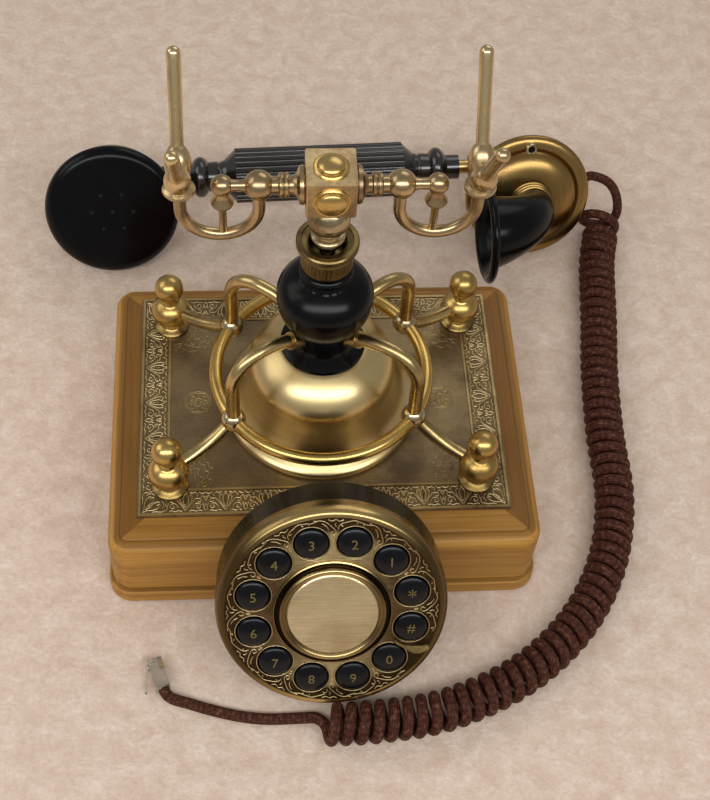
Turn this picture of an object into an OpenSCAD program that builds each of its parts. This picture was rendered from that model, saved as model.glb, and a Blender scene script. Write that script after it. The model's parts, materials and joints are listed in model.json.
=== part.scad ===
// Antique-style push-button desk telephone with a cage column, a sprung cradle,
// and a separate handset that lies behind the base on a curly cord.
// Millimetres. The column axis is x = 0, y = 0; z = 0 is the table; the dial faces -Y.

/* [Wooden base] */
// Width across the side faces
base_w = 208; // [200:1:230]
// Depth from the front face to the back face
base_d = 159; // [152:1:175]
// How far the base's centre lies behind the column axis
base_shift = -4; // [-8:1:0]
// Height of the wood's flat top above the table
base_h = 49; // [45:1:58]
// Radius of the upright corners
corner_r = 10; // [7:1:14]
// Thickness of the wooden walls
wood_wall = 9; // [7:1:12]
// Height of the projecting foot, with its pad
foot_h = 9.5; // [8:0.5:12]
// How far the foot projects past the faces
foot_out = 2; // [1:0.5:4]
// Thickness of the felt pad
pad_t = 1.5; // [1:0.5:2.5]

/* [Top plate and posts] */
// Width of the brass top plate
plate_w = 180; // [172:1:188]
// Depth of the brass top plate
plate_d = 131.6; // [124:0.2:136]
// Thickness of the brass top plate
plate_t = 1; // [0.8:0.1:2]
// Distance between left and right posts
post_gap_x = 149; // [140:1:156]
// Distance between front and back posts
post_gap_y = 97; // [92:1:102]
// Radius of a post's round foot
post_foot_r = 9; // [8:0.5:10]
// Widest radius of a post's bulb
post_bulb_r = 9.8; // [8:0.2:10.2]
// Radius of the ball on a post
post_ball_r = 7.2; // [6:0.2:7.6]

/* [Dome and column] */
// Radius of the dome's lower flange
dome_flange_r = 48.4; // [46:0.2:50]
// Radius of the dome's upright skirt
dome_r = 36; // [34:0.5:38]
// Height of the dome's skirt
dome_skirt_h = 29; // [26:0.5:32]
// Height of the dome, up to the column's foot
dome_h = 48; // [46:0.5:50]
// Wall of the spun dome
dome_wall = 1.6; // [1.2:0.1:2.4]
// Radius of the column's foot
column_foot_r = 20; // [18:0.5:23]
// Radius of the column's waist
waist_r = 14; // [13:0.5:16]
// Largest radius of the column's bulb
bulb_r = 22.4; // [20:0.2:25]
// Height of the column from its foot to the collar
column_h = 61; // [59:0.5:64]
// Radius of the column's upper neck
neck_r = 11.7; // [11:0.1:13]
// Height of the knurled collar
collar_h = 15; // [13.5:0.5:18]
// Radius of the collar's flared rim
collar_rim_r = 14; // [13:0.5:16]

/* [Cage] */
// Radius of the hoop, to the middle of its tube
hoop_r = 51.6; // [50:0.2:54]
// Height of the hoop above the plate
hoop_z = 25.6; // [23:0.2:30]
// Diameter of the bent tubes
cage_tube_d = 6.6; // [5.6:0.1:7]
// Diameter of the balls on the hoop
cage_ball_d = 9.8; // [9:0.2:11]
// Radius of a bracket's outer bend
bracket_bend_r = 16.1; // [15:0.1:18]
// Radius of a bracket's upper bow
bracket_bow_r = 34; // [30:0.5:38]

/* [Cradle] */
// Travel of the cradle when the handset is laid on it
cradle_travel = 6; // [3:0.5:6]
// Width of the square block
block_w = 21.2; // [19:0.2:24]
// Height of the square block
block_h = 19.4; // [18:0.2:24]
// Radius of the ball on the cradle's stem
stem_ball_r = 9.3; // [8:0.1:10]
// Radius of the plunger rod
plunger_r = 3; // [2.5:0.1:3.4]
// Radius of the big ball on each arm
arm_ball_r = 6.4; // [5.6:0.1:7.4]
// Radius of the small ball at each arm's end
arm_tip_r = 4.7; // [4:0.1:5.4]
// Distance from the axis to the middle of a U-shaped rest
rest_x = 46.4; // [44:0.2:50]
// Radius of the U-shaped rest, to the middle of its tube
rest_r = 16.6; // [15:0.2:18]
// Diameter of the U-shaped rest's tube
rest_tube_d = 5.5; // [4.6:0.1:6.2]
// Length of a fork prong
prong_len = 57.5; // [45:0.5:65]
// Lean of a fork prong from upright, in degrees
prong_lean = 31.5; // [26:0.5:36]
// Diameter of a fork prong's bulb
prong_bulb_d = 11.4; // [9:0.2:13]

/* [Dial] */
// Outer radius of the dial
dial_r = 53.1; // [52:0.1:56]
// Depth of the dial from its face to its back
dial_depth = 26.6; // [24:0.2:30]
// Rise of the dial's facing direction above level, in degrees
dial_tilt = 30; // [26:1:36]
// Distance from the base's front face to the middle of the dial's face
dial_forward = 40.5; // [38:0.5:46]
// Height of the middle of the dial's face above the plate
dial_rise = 12; // [10:0.5:18]
// Radius of the circle on which the keys stand
key_circle_r = 37; // [36.2:0.2:38]
// Radius of a key
key_r = 7.5; // [6.8:0.1:7.8]
// Travel of a key
key_travel = 1.5; // [1:0.1:1.6]
// Radius of the hub's raised ring
hub_r = 27; // [25:0.2:27.4]
// Radius of the hub's centre disc
hub_disc_r = 20.9; // [19:0.1:21.6]
// Height of the hub above the face
hub_h = 4; // [2.5:0.5:5]

/* [Handset] */
// Radius of the receiver
receiver_r = 37.2; // [34:0.2:37.4]
// Depth of the receiver's cap
receiver_cap_h = 18.5; // [16:0.5:21]
// Radius of the fluted grip
grip_r = 15.5; // [13:0.5:17]
// Length of the fluted part of the grip
grip_len = 96; // [88:1:100]
// Number of flutes round the grip
flutes = 30; // [20:1:36]
// Radius of the brass rod through the handset
rod_r = 4; // [3:0.1:4.4]
// Radius of the transmitter's brass rim
transmitter_r = 36; // [34:0.5:36]
// Depth of the transmitter's bowl behind its rim
transmitter_depth = 26.2; // [23:0.2:26.2]
// Radius of the horn's mouth
mouth_r = 28; // [26:0.5:28.4]
// Radius of the horn where it leaves the transmitter
horn_root_r = 10.6; // [9.8:0.1:11.4]
// Wall of the horn
horn_wall = 2; // [1.6:0.1:2.6]

/* [Cord] */
// Diameter of the braided cord
cord_d = 5.4; // [4.6:0.1:5.4]
// Radius of a curl, to the middle of the cord
curl_r = 7.7; // [7:0.1:7.7]
// Number of curls
curls = 58; // [40:1:58]

/* [Hidden] */
$fn = 64;
run_gap = 0.3;        // free gap between pieces that move past each other
fit_gap = 0.05;       // radial clearance of a running fit
seat_gap = 0.1;       // clearance round a piece let into another

front_y = base_shift - base_d / 2;
back_y = base_shift + base_d / 2;
top_z = base_h + plate_t;             // the plate's upper face: heights below are above it

BRASS = "#b08d4a";
OLD_BRASS = "#7d6a3c";
DARK_BRASS = "#4d4428";
WOOD = "#a8742c";
BLACK = "#15151a";
CORD_BROWN = "#40201c";

// Wooden base: the edge moulding is a list of [outward offset, height]
groove_in = 1.2;
groove_h = 2.5;
shoulder_w = 5;
shoulder_h = 5;
moulding_w = 7;
step_r = 1.2;
shoulder_z = base_h - 1.6;
wood_edge = concat(
    [[foot_out, pad_t], [foot_out, foot_h - 1.2]],
    arc([foot_out - 1.2, foot_h - 1.2], 1.2, 15, 90, 4),
    [[-groove_in, foot_h], [-groove_in, foot_h + groove_h - 0.8], [0, foot_h + groove_h]],
    oval([-shoulder_w, shoulder_z - shoulder_h], shoulder_w, shoulder_h, 0, 90, 6),
    [[step_r - moulding_w, shoulder_z]],
    arc([-moulding_w, base_h - step_r], step_r, 0, 90, 4));
cover_t = 2;
cover_z = pad_t;
ledge_w = 5;
cavity_top = base_h - wood_wall + 1;
cavity_x = base_w / 2 - wood_wall;
cavity_y = base_d / 2 - wood_wall;
standoff_h = 6;
board_t = 1.6;
board_z = cover_z + cover_t + standoff_h;
board_size = [96, 66];
ringer_r = 17;
ringer_h = 8;
screw_r = 1.5;
screw_head_r = 3.2;
screw_x = cavity_x + ledge_w / 2 - 1.6;
screw_y = cavity_y + ledge_w / 2 - 1.6;
jack_size = [14, 18, 12];
jack_z = 24;
jack_x = 30;
plug_w = 7.65;
plug_h = 6.65;
plug_len = 15;
line_plug_w = 9.65;
socket_depth = 14;

// Posts and cage
post_x = post_gap_x / 2;
post_y = post_gap_y / 2;
post_dist = norm([post_x, post_y]);
post_turn = atan2(post_y, post_x);
corner_turns = [post_turn, 180 - post_turn, 180 + post_turn, -post_turn];
bulb_z = 12.5;
post_ball_z = 30;
stud_r = 2;
stud_len = 7;
cage_tube_r = cage_tube_d / 2;
cage_ball_r = cage_ball_d / 2;
bracket_bend_z = 52;
bracket_x = hoop_r - bracket_bend_r;
bow_z = bracket_bend_z + bracket_bend_r - bracket_bow_r;
bow_turn = 30;
ferrule_r = 4.2;
ferrule_len = 5;
strut_foot_z = 14;
strut_reach = post_dist - 5;
strut_drop = hoop_z - strut_foot_z;
strut_r = (pow(strut_reach - hoop_r, 2) + pow(strut_drop, 2)) / (2 * strut_drop);
strut_turn = atan2(strut_reach - hoop_r, strut_r - strut_drop);

// Column, its tie tube and the sprung plunger
column_top = dome_h + column_h;
shelf_z = dome_h + 12;
chamber_r = 7.6;
tie_r = 5;
tie_bore_r = plunger_r + fit_gap;
nut_r = 6.6;
nut_h = 4;
tie_top = shelf_z + nut_h;
tie_bottom = cavity_top - top_z - nut_h;
bulb_z_column = dome_h + 38.5;
flange_r = 6.4;
flange_t = 3;
flange_z = column_top - run_gap - flange_t;
plunger_low = cavity_top - top_z - nut_h - 5;
switch_top = top_z + plunger_low - cradle_travel - run_gap;
spring_d = 1.4;
spring_r = 5.2;
spring_turns = 9;
collar_floor = 7;

// Cradle heights above the plate
collar_top = column_top + collar_h;
stem_z = column_top + collar_floor + cradle_travel + run_gap;
stem_ring_r = 7.7;
stem_ball_z = stem_z + 15.7;
block_z = stem_ball_z + stem_ball_r + 2.4;
arm_z = block_z + block_h / 2 - 0.8;
block_half = block_w / 2;
arm_flange_r = 8.4;
arm_ball_x = rest_x - rest_r;
arm_tip_x = rest_x - 1.2;
rest_z = arm_z - 13.7;
rest_tube_r = rest_tube_d / 2;
fork_x = rest_x + rest_r;
fork_collar_r = 7;
fork_z = arm_z;

// Dial: its own frame has z along the facing direction and z = 0 on the face
dial_y = front_y - dial_forward;
dial_z = top_z + dial_rise;
rim_w = 3.4;
rim_deep = 6.1;
rim_back = 9;
face_r = dial_r - rim_w - 1;
face_t = 3;
ledge_r = face_r - 1.3;
hole_r = key_r + 0.65;
key_names = ["key_1", "key_2", "key_3", "key_4", "key_5", "key_6",
             "key_7", "key_8", "key_9", "key_0", "key_hash", "key_star"];
key_turn_first = 45;
key_step = 30;
key_flange_r = key_r + 1.3;
key_flange_t = 1.5;
key_low = -8.5;
key_dome_h = 2;
mat_t = 1.5;
mat_dome_top = key_low - key_travel - 0.4;
mat_dome_h = 1.5;
mat_z = mat_dome_top - mat_dome_h - mat_t;
keypad_z = mat_z - board_t;
housing_wall = 2;
housing_r = dial_r - 0.6;
mount_w = 40;
mount_up = -4;
mount_down = -32;

// Handset frame: x along the grip, z along the receiver's facing direction
handset_at = [17, 169.35, 34.5];
handset_yaw = 2.5;
handset_tilt = 26;
receiver_at = [-127.8, -8.6, 26.7];
receiver_wall = 2.5;
receiver_back = 34;
grip_mid = -9.6;
flute_r = 1.5;
neck_x = 9.2;
grip_neck_r = 8;
bead_x = 20;
bead_r = 11.6;
bead_half = 6.4;
ferrule_x = 33;
rod_shown = 6.6;       // brass rod seen between the grip and the transmitter
rim_over_boss = 5;      // how far the rim reaches past the boss's end
shell_x = grip_mid + grip_len / 2 + ferrule_x + rod_shown + transmitter_r - rim_over_boss;
shell_y = -11.5;
boss_r = 6.6;
boss_end = shell_x - 14;
rim_z = 19.6;
shell_wall = 1.6;
bowl_r = transmitter_r - 2.5;
bowl_z = rim_z - 1.6;  // where the bowl is widest
bowl_deep = transmitter_depth - 1.6;
band_h = 3.2;
groove_r = transmitter_r - 7.6;
neck_ring_r = 12.4;
front_dome_h = 6.5;
neck_z = rim_z + band_h + front_dome_h;
neck_rings = 3;
neck_ring_h = 2.2;
horn_z = neck_z + neck_rings * neck_ring_h;
bend_x = 28;
bend_z = 24;
horn_drop = -5;
horn_body_r = 20.5;
mouth_lip = 5;
horn_sides = 24;
horn_steps = 9;
gland_r = 4.6;
gland_len = 8;
gland_z = 12;
gland_turn = 10;
mic_r = 11.5;
mic_h = 5;

// Cord: the free stretches' points were chosen by hand
cord_r = cord_d / 2;
cord_z = 10.5;
coil_route = [for (p = [[172, 139], [166.7, 117], [161.8, 78], [156.5, 39], [153.5, 0], [152.5, -39],
                        [143, -76], [123.5, -108.5], [94, -134.5], [57, -151], [24, -156.2], [-9, -157]])
              [p[0], p[1], cord_z]];
lead_route = [[162.2, 162.6, 35.1], [166.6, 163.2, 35.5], [174.6, 162.3, 32.6], [180, 160.2, 27.6],
              [183, 156.4, 20.6], [182.8, 151, 13.6], [180.1, 152.5, 6.6], [173.3, 153.9, 3.5],
              [166.1, 153.8, 6.1], [162.6, 151.8, 12.6], [164.9, 148.5, 19.1], [171.3, 145.3, 21.7],
              [178.1, 143.6, 18.6], [181.1, 143.8, 11.6], [178.3, 143.9, 5.2], [171.9, 143.4, 2.9],
              [166.2, 142.2, 5], [164.5, 141.05, 8.6], [164.5, 140.75, 10.1]];
tail_route = [[-9.4, -157, 10.5], [-11, -157.05, 10.5], [-15, -156.7, 9.8], [-21.5, -154.8, 7.2],
              [-29, -152, 4.6], [-38, -149.6, 3.2], [-47, -147.4, 2.8], [-58, -145, 2.8], [-67, -142.3, 2.8],
              [-72.4, -140.4, 2.9], [-75.9, -138.9, 3.3], [-77.92, -136.71, 3.7], [-78.85, -133.86, 3.8]];
tube_sides = 8;
plug_yaw = 18;
plug_at = [-79, -133.4, plug_w / 2];
coil_sides = 6;
curl_rings = 8;

// ---- Outline and sweep functions ----

function arc(c, r, a0, a1, n) = oval(c, r, r, a0, a1, n);

function oval(c, rx, ry, a0, a1, n) =
    [for (i = [0:n]) let (a = a0 + (a1 - a0) * i / n) [c[0] + rx * cos(a), c[1] + ry * sin(a)]];

function unit(v) = v / norm(v);

function blend_point(a, b, c, d, t) =
    0.5 * (2 * b + (c - a) * t + (2 * a - 5 * b + 4 * c - d) * t * t
           + (3 * b - a - 3 * c + d) * t * t * t);

// A smooth curve through the points of p: u = i is the point p[i]
function curve_at(p, u) =
    let (n = len(p) - 1, i = max(0, min(floor(u), n - 1)),
         before = i > 0 ? p[i - 1] : 2 * p[0] - p[1],
         after = i + 2 <= n ? p[i + 2] : 2 * p[n] - p[n - 1])
    blend_point(before, p[i], p[i + 1], after, u - i);

function curve_dir(p, u) =
    unit(curve_at(p, min(u + 0.02, len(p) - 1)) - curve_at(p, max(u - 0.02, 0)));

// Running length up to each point of p
function run_lengths(p, i = 0, sum = 0, out = []) =
    i >= len(p) ? out
    : let (here = sum + (i == 0 ? 0 : norm(p[i] - p[i - 1])))
      run_lengths(p, i + 1, here, concat(out, [here]));

// Where length s along the route falls, as a u for curve_at
function u_at(lengths, s, i = 0) =
    i >= len(lengths) - 2 || s < lengths[i + 1]
    ? i + (s - lengths[i]) / (lengths[i + 1] - lengths[i])
    : u_at(lengths, s, i + 1);

function ring(c, e1, e2, r, sides) =
    [for (k = [0:sides - 1]) c + r * (cos(360 * k / sides) * e1 + sin(360 * k / sides) * e2)];

function flat_list(v) = [for (a = v) for (b = a) b];

// ---- Building modules ----

// A closed tube skin through a list of rings, with fans over both ends
module skin(rings) {
    n = len(rings[0]);
    m = len(rings);
    sides = [for (i = [0:m - 2]) for (k = [0:n - 1])
        let (a = i * n + k, b = i * n + (k + 1) % n)
        [[a, b, b + n], [a, b + n, a + n]]];
    ends = [for (k = [1:n - 2]) [[0, k + 1, k], [(m - 1) * n, (m - 1) * n + k, (m - 1) * n + k + 1]]];
    polyhedron(points = flat_list(rings), faces = concat(flat_list(sides), flat_list(ends)));
}

// A skin whose last ring joins its first, as round a hollow horn
module hollow_skin(rings) {
    n = len(rings[0]);
    m = len(rings);
    sides = [for (i = [0:m - 1]) for (k = [0:n - 1])
        let (j = (i + 1) % m, a = i * n + k, b = i * n + (k + 1) % n,
             c = j * n + (k + 1) % n, d = j * n + k)
        [[a, b, c], [a, c, d]]];
    polyhedron(points = flat_list(rings), faces = flat_list(sides));
}

// A round cord along a route, with a ring at each of its points
module cord_tube(route, ref) {
    n = len(route) - 1;
    skin([for (i = [0:n])
        let (t = curve_dir(route, i), e1 = unit(cross(t, ref)), e2 = cross(t, e1))
        ring(route[i], e1, e2, cord_r, tube_sides)]);
}

// A rounded rectangular block whose edge follows an outline of [outward offset, height]
module moulded_block(half_x, half_y, r, edge) {
    last = len(edge) - 1;
    side = concat([[0, edge[0][1]]], [for (p = edge) [r + p[0], p[1]]], [[0, edge[last][1]]]);
    across = concat([for (p = edge) [half_y + p[0], p[1]]],
                    [for (i = [last:-1:0]) [-half_y - edge[i][0], edge[i][1]]]);
    rotate([90, 0, 90]) linear_extrude(2 * (half_x - r), center = true) polygon(across);
    for (m = [0, 1]) mirror([m, 0, 0]) {
        translate([half_x - r, 0, 0]) rotate([90, 0, 0])
            linear_extrude(2 * (half_y - r), center = true) polygon(side);
        for (n = [0, 1]) mirror([0, n, 0])
            translate([half_x - r, half_y - r, 0]) rotate_extrude(angle = 90) polygon(side);
    }
}

// A tube bent in the XZ plane round the centre c
module bent_tube(c, bend, a0, a1, r) {
    translate([c[0], 0, c[1]]) rotate([90, 0, 0]) rotate([0, 0, a0])
        rotate_extrude(angle = a1 - a0) translate([bend, 0]) circle(r);
}

module turned(outline) {
    rotate_extrude() polygon(outline);
}

module above_plate() {
    translate([0, 0, top_z]) children();
}

module at_corners() {
    for (a = corner_turns) rotate([0, 0, a]) children();
}

// ---- Wooden base and what it holds ----

module rod_way(r) {
    translate([0, 0, -1]) cylinder(h = top_z + 2, r = r);
}

module jack_slot(x, gap) {
    translate([x - jack_size[0] / 2 - gap, back_y - jack_size[1], jack_z - jack_size[2] / 2 - gap])
        cube([jack_size[0] + 2 * gap, jack_size[1] + 1, jack_size[2] + 2 * gap]);
}

module screw_places() {
    for (x = [-screw_x, screw_x]) for (y = [-screw_y, 0, screw_y])
        translate([x, base_shift + y, 0]) children();
}

module wood_base() {
    color(WOOD) difference() {
        translate([0, base_shift, 0]) moulded_block(base_w / 2, base_d / 2, corner_r, wood_edge);
        translate([-cavity_x, base_shift - cavity_y, 0])
            cube([2 * cavity_x, 2 * cavity_y, cavity_top]);
        translate([-cavity_x - ledge_w, base_shift - cavity_y - ledge_w, 0])
            cube([2 * (cavity_x + ledge_w), 2 * (cavity_y + ledge_w), cover_z + cover_t]);
        rod_way(tie_r + seat_gap);
        jack_slot(jack_x, seat_gap);
        jack_slot(-jack_x, seat_gap);
        screw_places() cylinder(h = 12, r = screw_r + seat_gap);
        for (x = [-post_x, post_x]) for (y = [-post_y, post_y])
            translate([x, y, top_z - stud_len - 0.5]) cylinder(h = stud_len + 1, r = stud_r + seat_gap);
    }
}

module bottom_cover() {
    color("#6b5030") difference() {
        union() {
            translate([-cavity_x - ledge_w + seat_gap, base_shift - cavity_y - ledge_w + seat_gap, cover_z])
                cube([2 * (cavity_x + ledge_w - seat_gap), 2 * (cavity_y + ledge_w - seat_gap), cover_t]);
            for (x = [-1, 1]) for (y = [-1, 1])
                translate([x * (board_size[0] / 2 - 5), y * (board_size[1] / 2 - 5), cover_z + cover_t])
                    cylinder(h = standoff_h, r = 3);
        }
        screw_places() {
            cylinder(h = 12, r = screw_r + seat_gap);
            cylinder(h = cover_z + 1.2, r = screw_head_r + seat_gap);
        }
    }
}

module base_pad() {
    color("#2d5a3c") linear_extrude(pad_t) translate([0, base_shift])
        offset_slab(base_w / 2 - 1, base_d / 2 - 1, corner_r - 1);
}

// A rounded rectangle from plain pieces, so its corners stay true arcs
module offset_slab(half_x, half_y, r) {
    square([2 * (half_x - r), 2 * half_y], center = true);
    square([2 * half_x, 2 * (half_y - r)], center = true);
    for (x = [-1, 1]) for (y = [-1, 1])
        translate([x * (half_x - r), y * (half_y - r)]) circle(r);
}

module cover_screws() {
    color(BRASS) screw_places() {
        translate([0, 0, cover_z]) cylinder(h = 1.2, r = screw_head_r);
        translate([0, 0, cover_z + 1]) cylinder(h = 8, r = screw_r);
    }
}

module circuit_board() {
    color("#2f6b3a") translate([-board_size[0] / 2, -board_size[1] / 2, board_z]) difference() {
        cube([board_size[0], board_size[1], board_t]);
        translate([8, board_size[1] - 20, -1]) cylinder(h = board_t + 2, r = 2);
    }
}

module ringer() {
    color("#303030") translate([cavity_x - ringer_r - 7, -20, cover_z + cover_t]) difference() {
        cylinder(h = ringer_h, r = ringer_r);
        translate([0, 0, ringer_h - 2]) cylinder(h = 3, r = 3);
    }
}

module hook_switch() {
    color("#202024") {
        translate([-10, -6, board_z + board_t]) cube([20, 12, switch_top - board_z - board_t - 2]);
        translate([0, 0, switch_top - 2.5]) cylinder(h = 2.5, r = 2.4);
    }
}

module modular_jack(x, socket_w) {
    difference() {
        translate([x - jack_size[0] / 2, back_y - jack_size[1], jack_z - jack_size[2] / 2])
            cube(jack_size);
        translate([x - socket_w / 2 - 0.25, back_y - socket_depth, jack_z - plug_h / 2 - 0.25])
            cube([socket_w + 0.5, socket_depth + 1, plug_h + 0.5]);
        translate([x - 2, back_y - socket_depth, jack_z - plug_h / 2 - 1.6])
            cube([4, socket_depth + 1, 2]);
    }
}

module line_jack() {
    color(BLACK) modular_jack(jack_x, line_plug_w);
}

module handset_jack() {
    color(BLACK) modular_jack(-jack_x, plug_w);
}

// ---- Top plate, posts and dome ----

module plate_rib(inset) {
    rib_w = 1.1;
    difference() {
        square([plate_w - 2 * inset, plate_d - 2 * inset], center = true);
        square([plate_w - 2 * inset - 2 * rib_w, plate_d - 2 * inset - 2 * rib_w], center = true);
    }
}

module base_plate() {
    border_w = 14;
    color(OLD_BRASS) difference() {
        union() {
            translate([0, 0, base_h]) linear_extrude(plate_t)
                square([plate_w, plate_d], center = true);
            above_plate() linear_extrude(0.5) {
                plate_rib(0.6);
                plate_rib(border_w);
            }
        }
        rod_way(tie_r + seat_gap);
        for (x = [-post_x, post_x]) for (y = [-post_y, post_y]) translate([x, y, 0]) {
            cylinder(h = top_z + 1, r = stud_r + seat_gap);
            translate([0, 0, top_z]) cylinder(h = 2, r = post_foot_r + seat_gap);
        }
    }
}

function post_outline() = concat(
    [[0, 0], [post_foot_r, 0], [post_foot_r, 1.6], [post_foot_r - 1.1, 2.5], [post_foot_r - 2.4, 2.9],
     [post_foot_r - 3.2, 3.8], [post_foot_r - 3.9, 5]],
    oval([0, bulb_z], post_bulb_r, 8.2, -50, 62, 12),
    [[3.7, 21], [3.5, 22.6], [3.9, post_ball_z - post_ball_r * 0.78]],
    arc([0, post_ball_z], post_ball_r, -49, 90, 12));

module corner_post(with_stud) {
    turned(post_outline());
    if (with_stud) translate([0, 0, -stud_len]) cylinder(h = stud_len + 1, r = stud_r);
}

module corner_posts() {
    color(BRASS) above_plate() for (x = [-post_x, post_x]) for (y = [-post_y, post_y])
        translate([x, y, 0]) corner_post(true);
}

module dome() {
    // The crown runs from the skirt to the column's foot, and the skirt flares to the bead
    crown_turn = acos(column_foot_r / dome_r);
    rise = (dome_h - dome_skirt_h) / sin(crown_turn);
    bead = 2.6;
    bead_top = 2 * bead + 0.5;
    flare_r = dome_flange_r - bead - dome_r;
    flare_h = 23;
    flare = [for (k = [0:5]) let (a = 15 * k)
        [dome_r + flare_r * (1 - sin(a)), bead_top + flare_h * (1 - cos(a))]];
    inside = [for (k = [5:-1:0]) flare[k] - [dome_wall + 0.5, 0.6 * k / 5]];
    color(BRASS) above_plate() turned(concat(
        [[dome_flange_r - bead, 0]],
        arc([dome_flange_r - bead, bead], bead, -75, 75, 6),
        flare,
        oval([0, dome_skirt_h], dome_r, rise, 0, crown_turn, 10),
        [[tie_r + seat_gap, dome_h], [tie_r + seat_gap, dome_h - 2]],
        oval([0, dome_skirt_h - 0.6], dome_r - dome_wall, rise - dome_wall + 0.6, crown_turn - 1, 0, 8),
        inside,
        [[dome_flange_r - bead - dome_wall, 0]]));
}

// ---- Column, tie tube and collar ----

function column_outline() = concat(
    [[column_foot_r, dome_h], [column_foot_r + 0.4, dome_h + 1.3], [column_foot_r, dome_h + 2.6],
     [column_foot_r - 1.6, dome_h + 3.4], [waist_r + 1.3, dome_h + 4.6], [waist_r, dome_h + 7],
     [waist_r - 0.2, dome_h + 10], [waist_r, dome_h + 14]],
    oval([0, bulb_z_column], bulb_r, 27.4, -48, 0, 8),
    oval([0, bulb_z_column], bulb_r, 14.8, 6, 58, 8),
    [[neck_r - 1.1, dome_h + 53], [neck_r - 1.1, dome_h + 54]],
    arc([neck_r - 1.1, dome_h + 56.4], 1.8, -70, 70, 5),
    [[neck_r, dome_h + 59], [neck_r, column_top]]);

module column() {
    color(BLACK) above_plate() turned(concat(column_outline(),
        [[chamber_r, column_top], [chamber_r, shelf_z], [tie_r + seat_gap, shelf_z],
         [tie_r + seat_gap, dome_h]]));
}

module tie_tube() {
    color("silver") above_plate() difference() {
        union() {
            translate([0, 0, tie_bottom]) cylinder(h = tie_top - tie_bottom, r = tie_r);
            translate([0, 0, tie_bottom]) cylinder(h = nut_h, r = nut_r + 2);
            translate([0, 0, shelf_z]) cylinder(h = nut_h, r = nut_r);
        }
        translate([0, 0, tie_bottom - 1]) cylinder(h = tie_top - tie_bottom + 2, r = tie_bore_r);
    }
}

module column_collar() {
    knurl_h = 8;
    knurls = 40;
    inner_r = collar_rim_r - 2.4;
    color(OLD_BRASS) translate([0, 0, top_z + column_top]) difference() {
        turned([[plunger_r + 0.6, 0], [neck_r, 0], [neck_r, knurl_h], [neck_r - 0.4, knurl_h + 1],
                [collar_rim_r - 0.6, collar_h - 3.6], [collar_rim_r, collar_h - 3],
                [collar_rim_r, collar_h - 0.6], [collar_rim_r - 0.6, collar_h],
                [inner_r, collar_h], [inner_r - 2, collar_floor], [plunger_r + 0.6, collar_floor]]);
        for (k = [0:knurls - 1]) rotate([0, 0, 360 * k / knurls])
            translate([neck_r + 0.35, 0, 0.8]) cylinder(h = knurl_h - 1.6, r = 0.7, $fn = 16);
    }
}

// ---- Cage round the dome ----

module cage_balls() {
    at_corners() translate([hoop_r, 0, hoop_z]) sphere(cage_ball_r);
}

module cage_ring() {
    color(BRASS) above_plate() {
        translate([0, 0, hoop_z]) rotate_extrude() translate([hoop_r, 0]) circle(cage_tube_r);
        cage_balls();
    }
}

module cage_brackets() {
    bow_end = [bracket_x - bracket_bow_r * sin(bow_turn), bow_z + bracket_bow_r * cos(bow_turn)];
    color(BRASS) above_plate() difference() {
        at_corners() {
            translate([hoop_r, 0, hoop_z]) cylinder(h = bracket_bend_z - hoop_z, r = cage_tube_r);
            bent_tube([bracket_x, bracket_bend_z], bracket_bend_r, 0, 90, cage_tube_r);
            bent_tube([bracket_x, bow_z], bracket_bow_r, 90, 90 + bow_turn, cage_tube_r);
            translate([bow_end[0], 0, bow_end[1]]) rotate([0, -90 - bow_turn, 0]) {
                translate([0, 0, -1]) cylinder(h = ferrule_len + 3, r = ferrule_r);
                translate([0, 0, -2.2]) cylinder(h = 1.2, r = ferrule_r - 0.6);
            }
        }
        cage_balls();
        turned(concat([[0, dome_h]], column_outline(), [[0, column_top]]));
    }
}

module cage_struts() {
    color(BRASS) above_plate() difference() {
        at_corners()
            bent_tube([strut_reach, strut_foot_z + strut_r], strut_r, 270 - strut_turn, 270, cage_tube_r);
        cage_balls();
        for (x = [-post_x, post_x]) for (y = [-post_y, post_y]) translate([x, y, 0]) corner_post(false);
    }
}

// ---- Dial ----

module dial_frame() {
    translate([0, dial_y, dial_z]) rotate([90 - dial_tilt, 0, 0]) children();
}

module at_key(k) {
    rotate([0, 0, key_turn_first + key_step * k]) translate([key_circle_r, 0, 0]) children();
}

module dial_mount() {
    // The back plane of the drum runs up and back from this point
    back = [dial_y + dial_depth * cos(dial_tilt), dial_z - dial_depth * sin(dial_tilt)];
    along = [sin(dial_tilt), cos(dial_tilt)];
    high = back + mount_up * along;
    low = back + mount_down * along;
    color(DARK_BRASS) rotate([90, 0, 90]) linear_extrude(mount_w, center = true)
        polygon([[front_y, foot_h + groove_h + 2], low, high, [front_y, shoulder_z - shoulder_h - 1]]);
}

module dial_housing() {
    floor_z = -dial_depth + housing_wall;
    color(DARK_BRASS) dial_frame() {
        turned([[0, -dial_depth], [housing_r - 1, -dial_depth], [housing_r, 1 - dial_depth],
                [housing_r, -rim_back], [housing_r - housing_wall, -rim_back],
                [housing_r - housing_wall, floor_z], [0, floor_z]]);
        for (a = [45:90:315]) rotate([0, 0, a]) translate([38, 0, floor_z])
            cylinder(h = keypad_z - floor_z, r = 3);
    }
}

module dial_rim() {
    color(BRASS) dial_frame() turned(concat(
        [[ledge_r, -rim_back], [dial_r, -rim_back]],
        oval([dial_r - rim_w, -rim_deep], rim_w, rim_deep, 0, 90, 8),
        [[face_r + 0.1, 0], [face_r + 0.1, -face_t], [ledge_r, -face_t]]));
}

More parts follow.
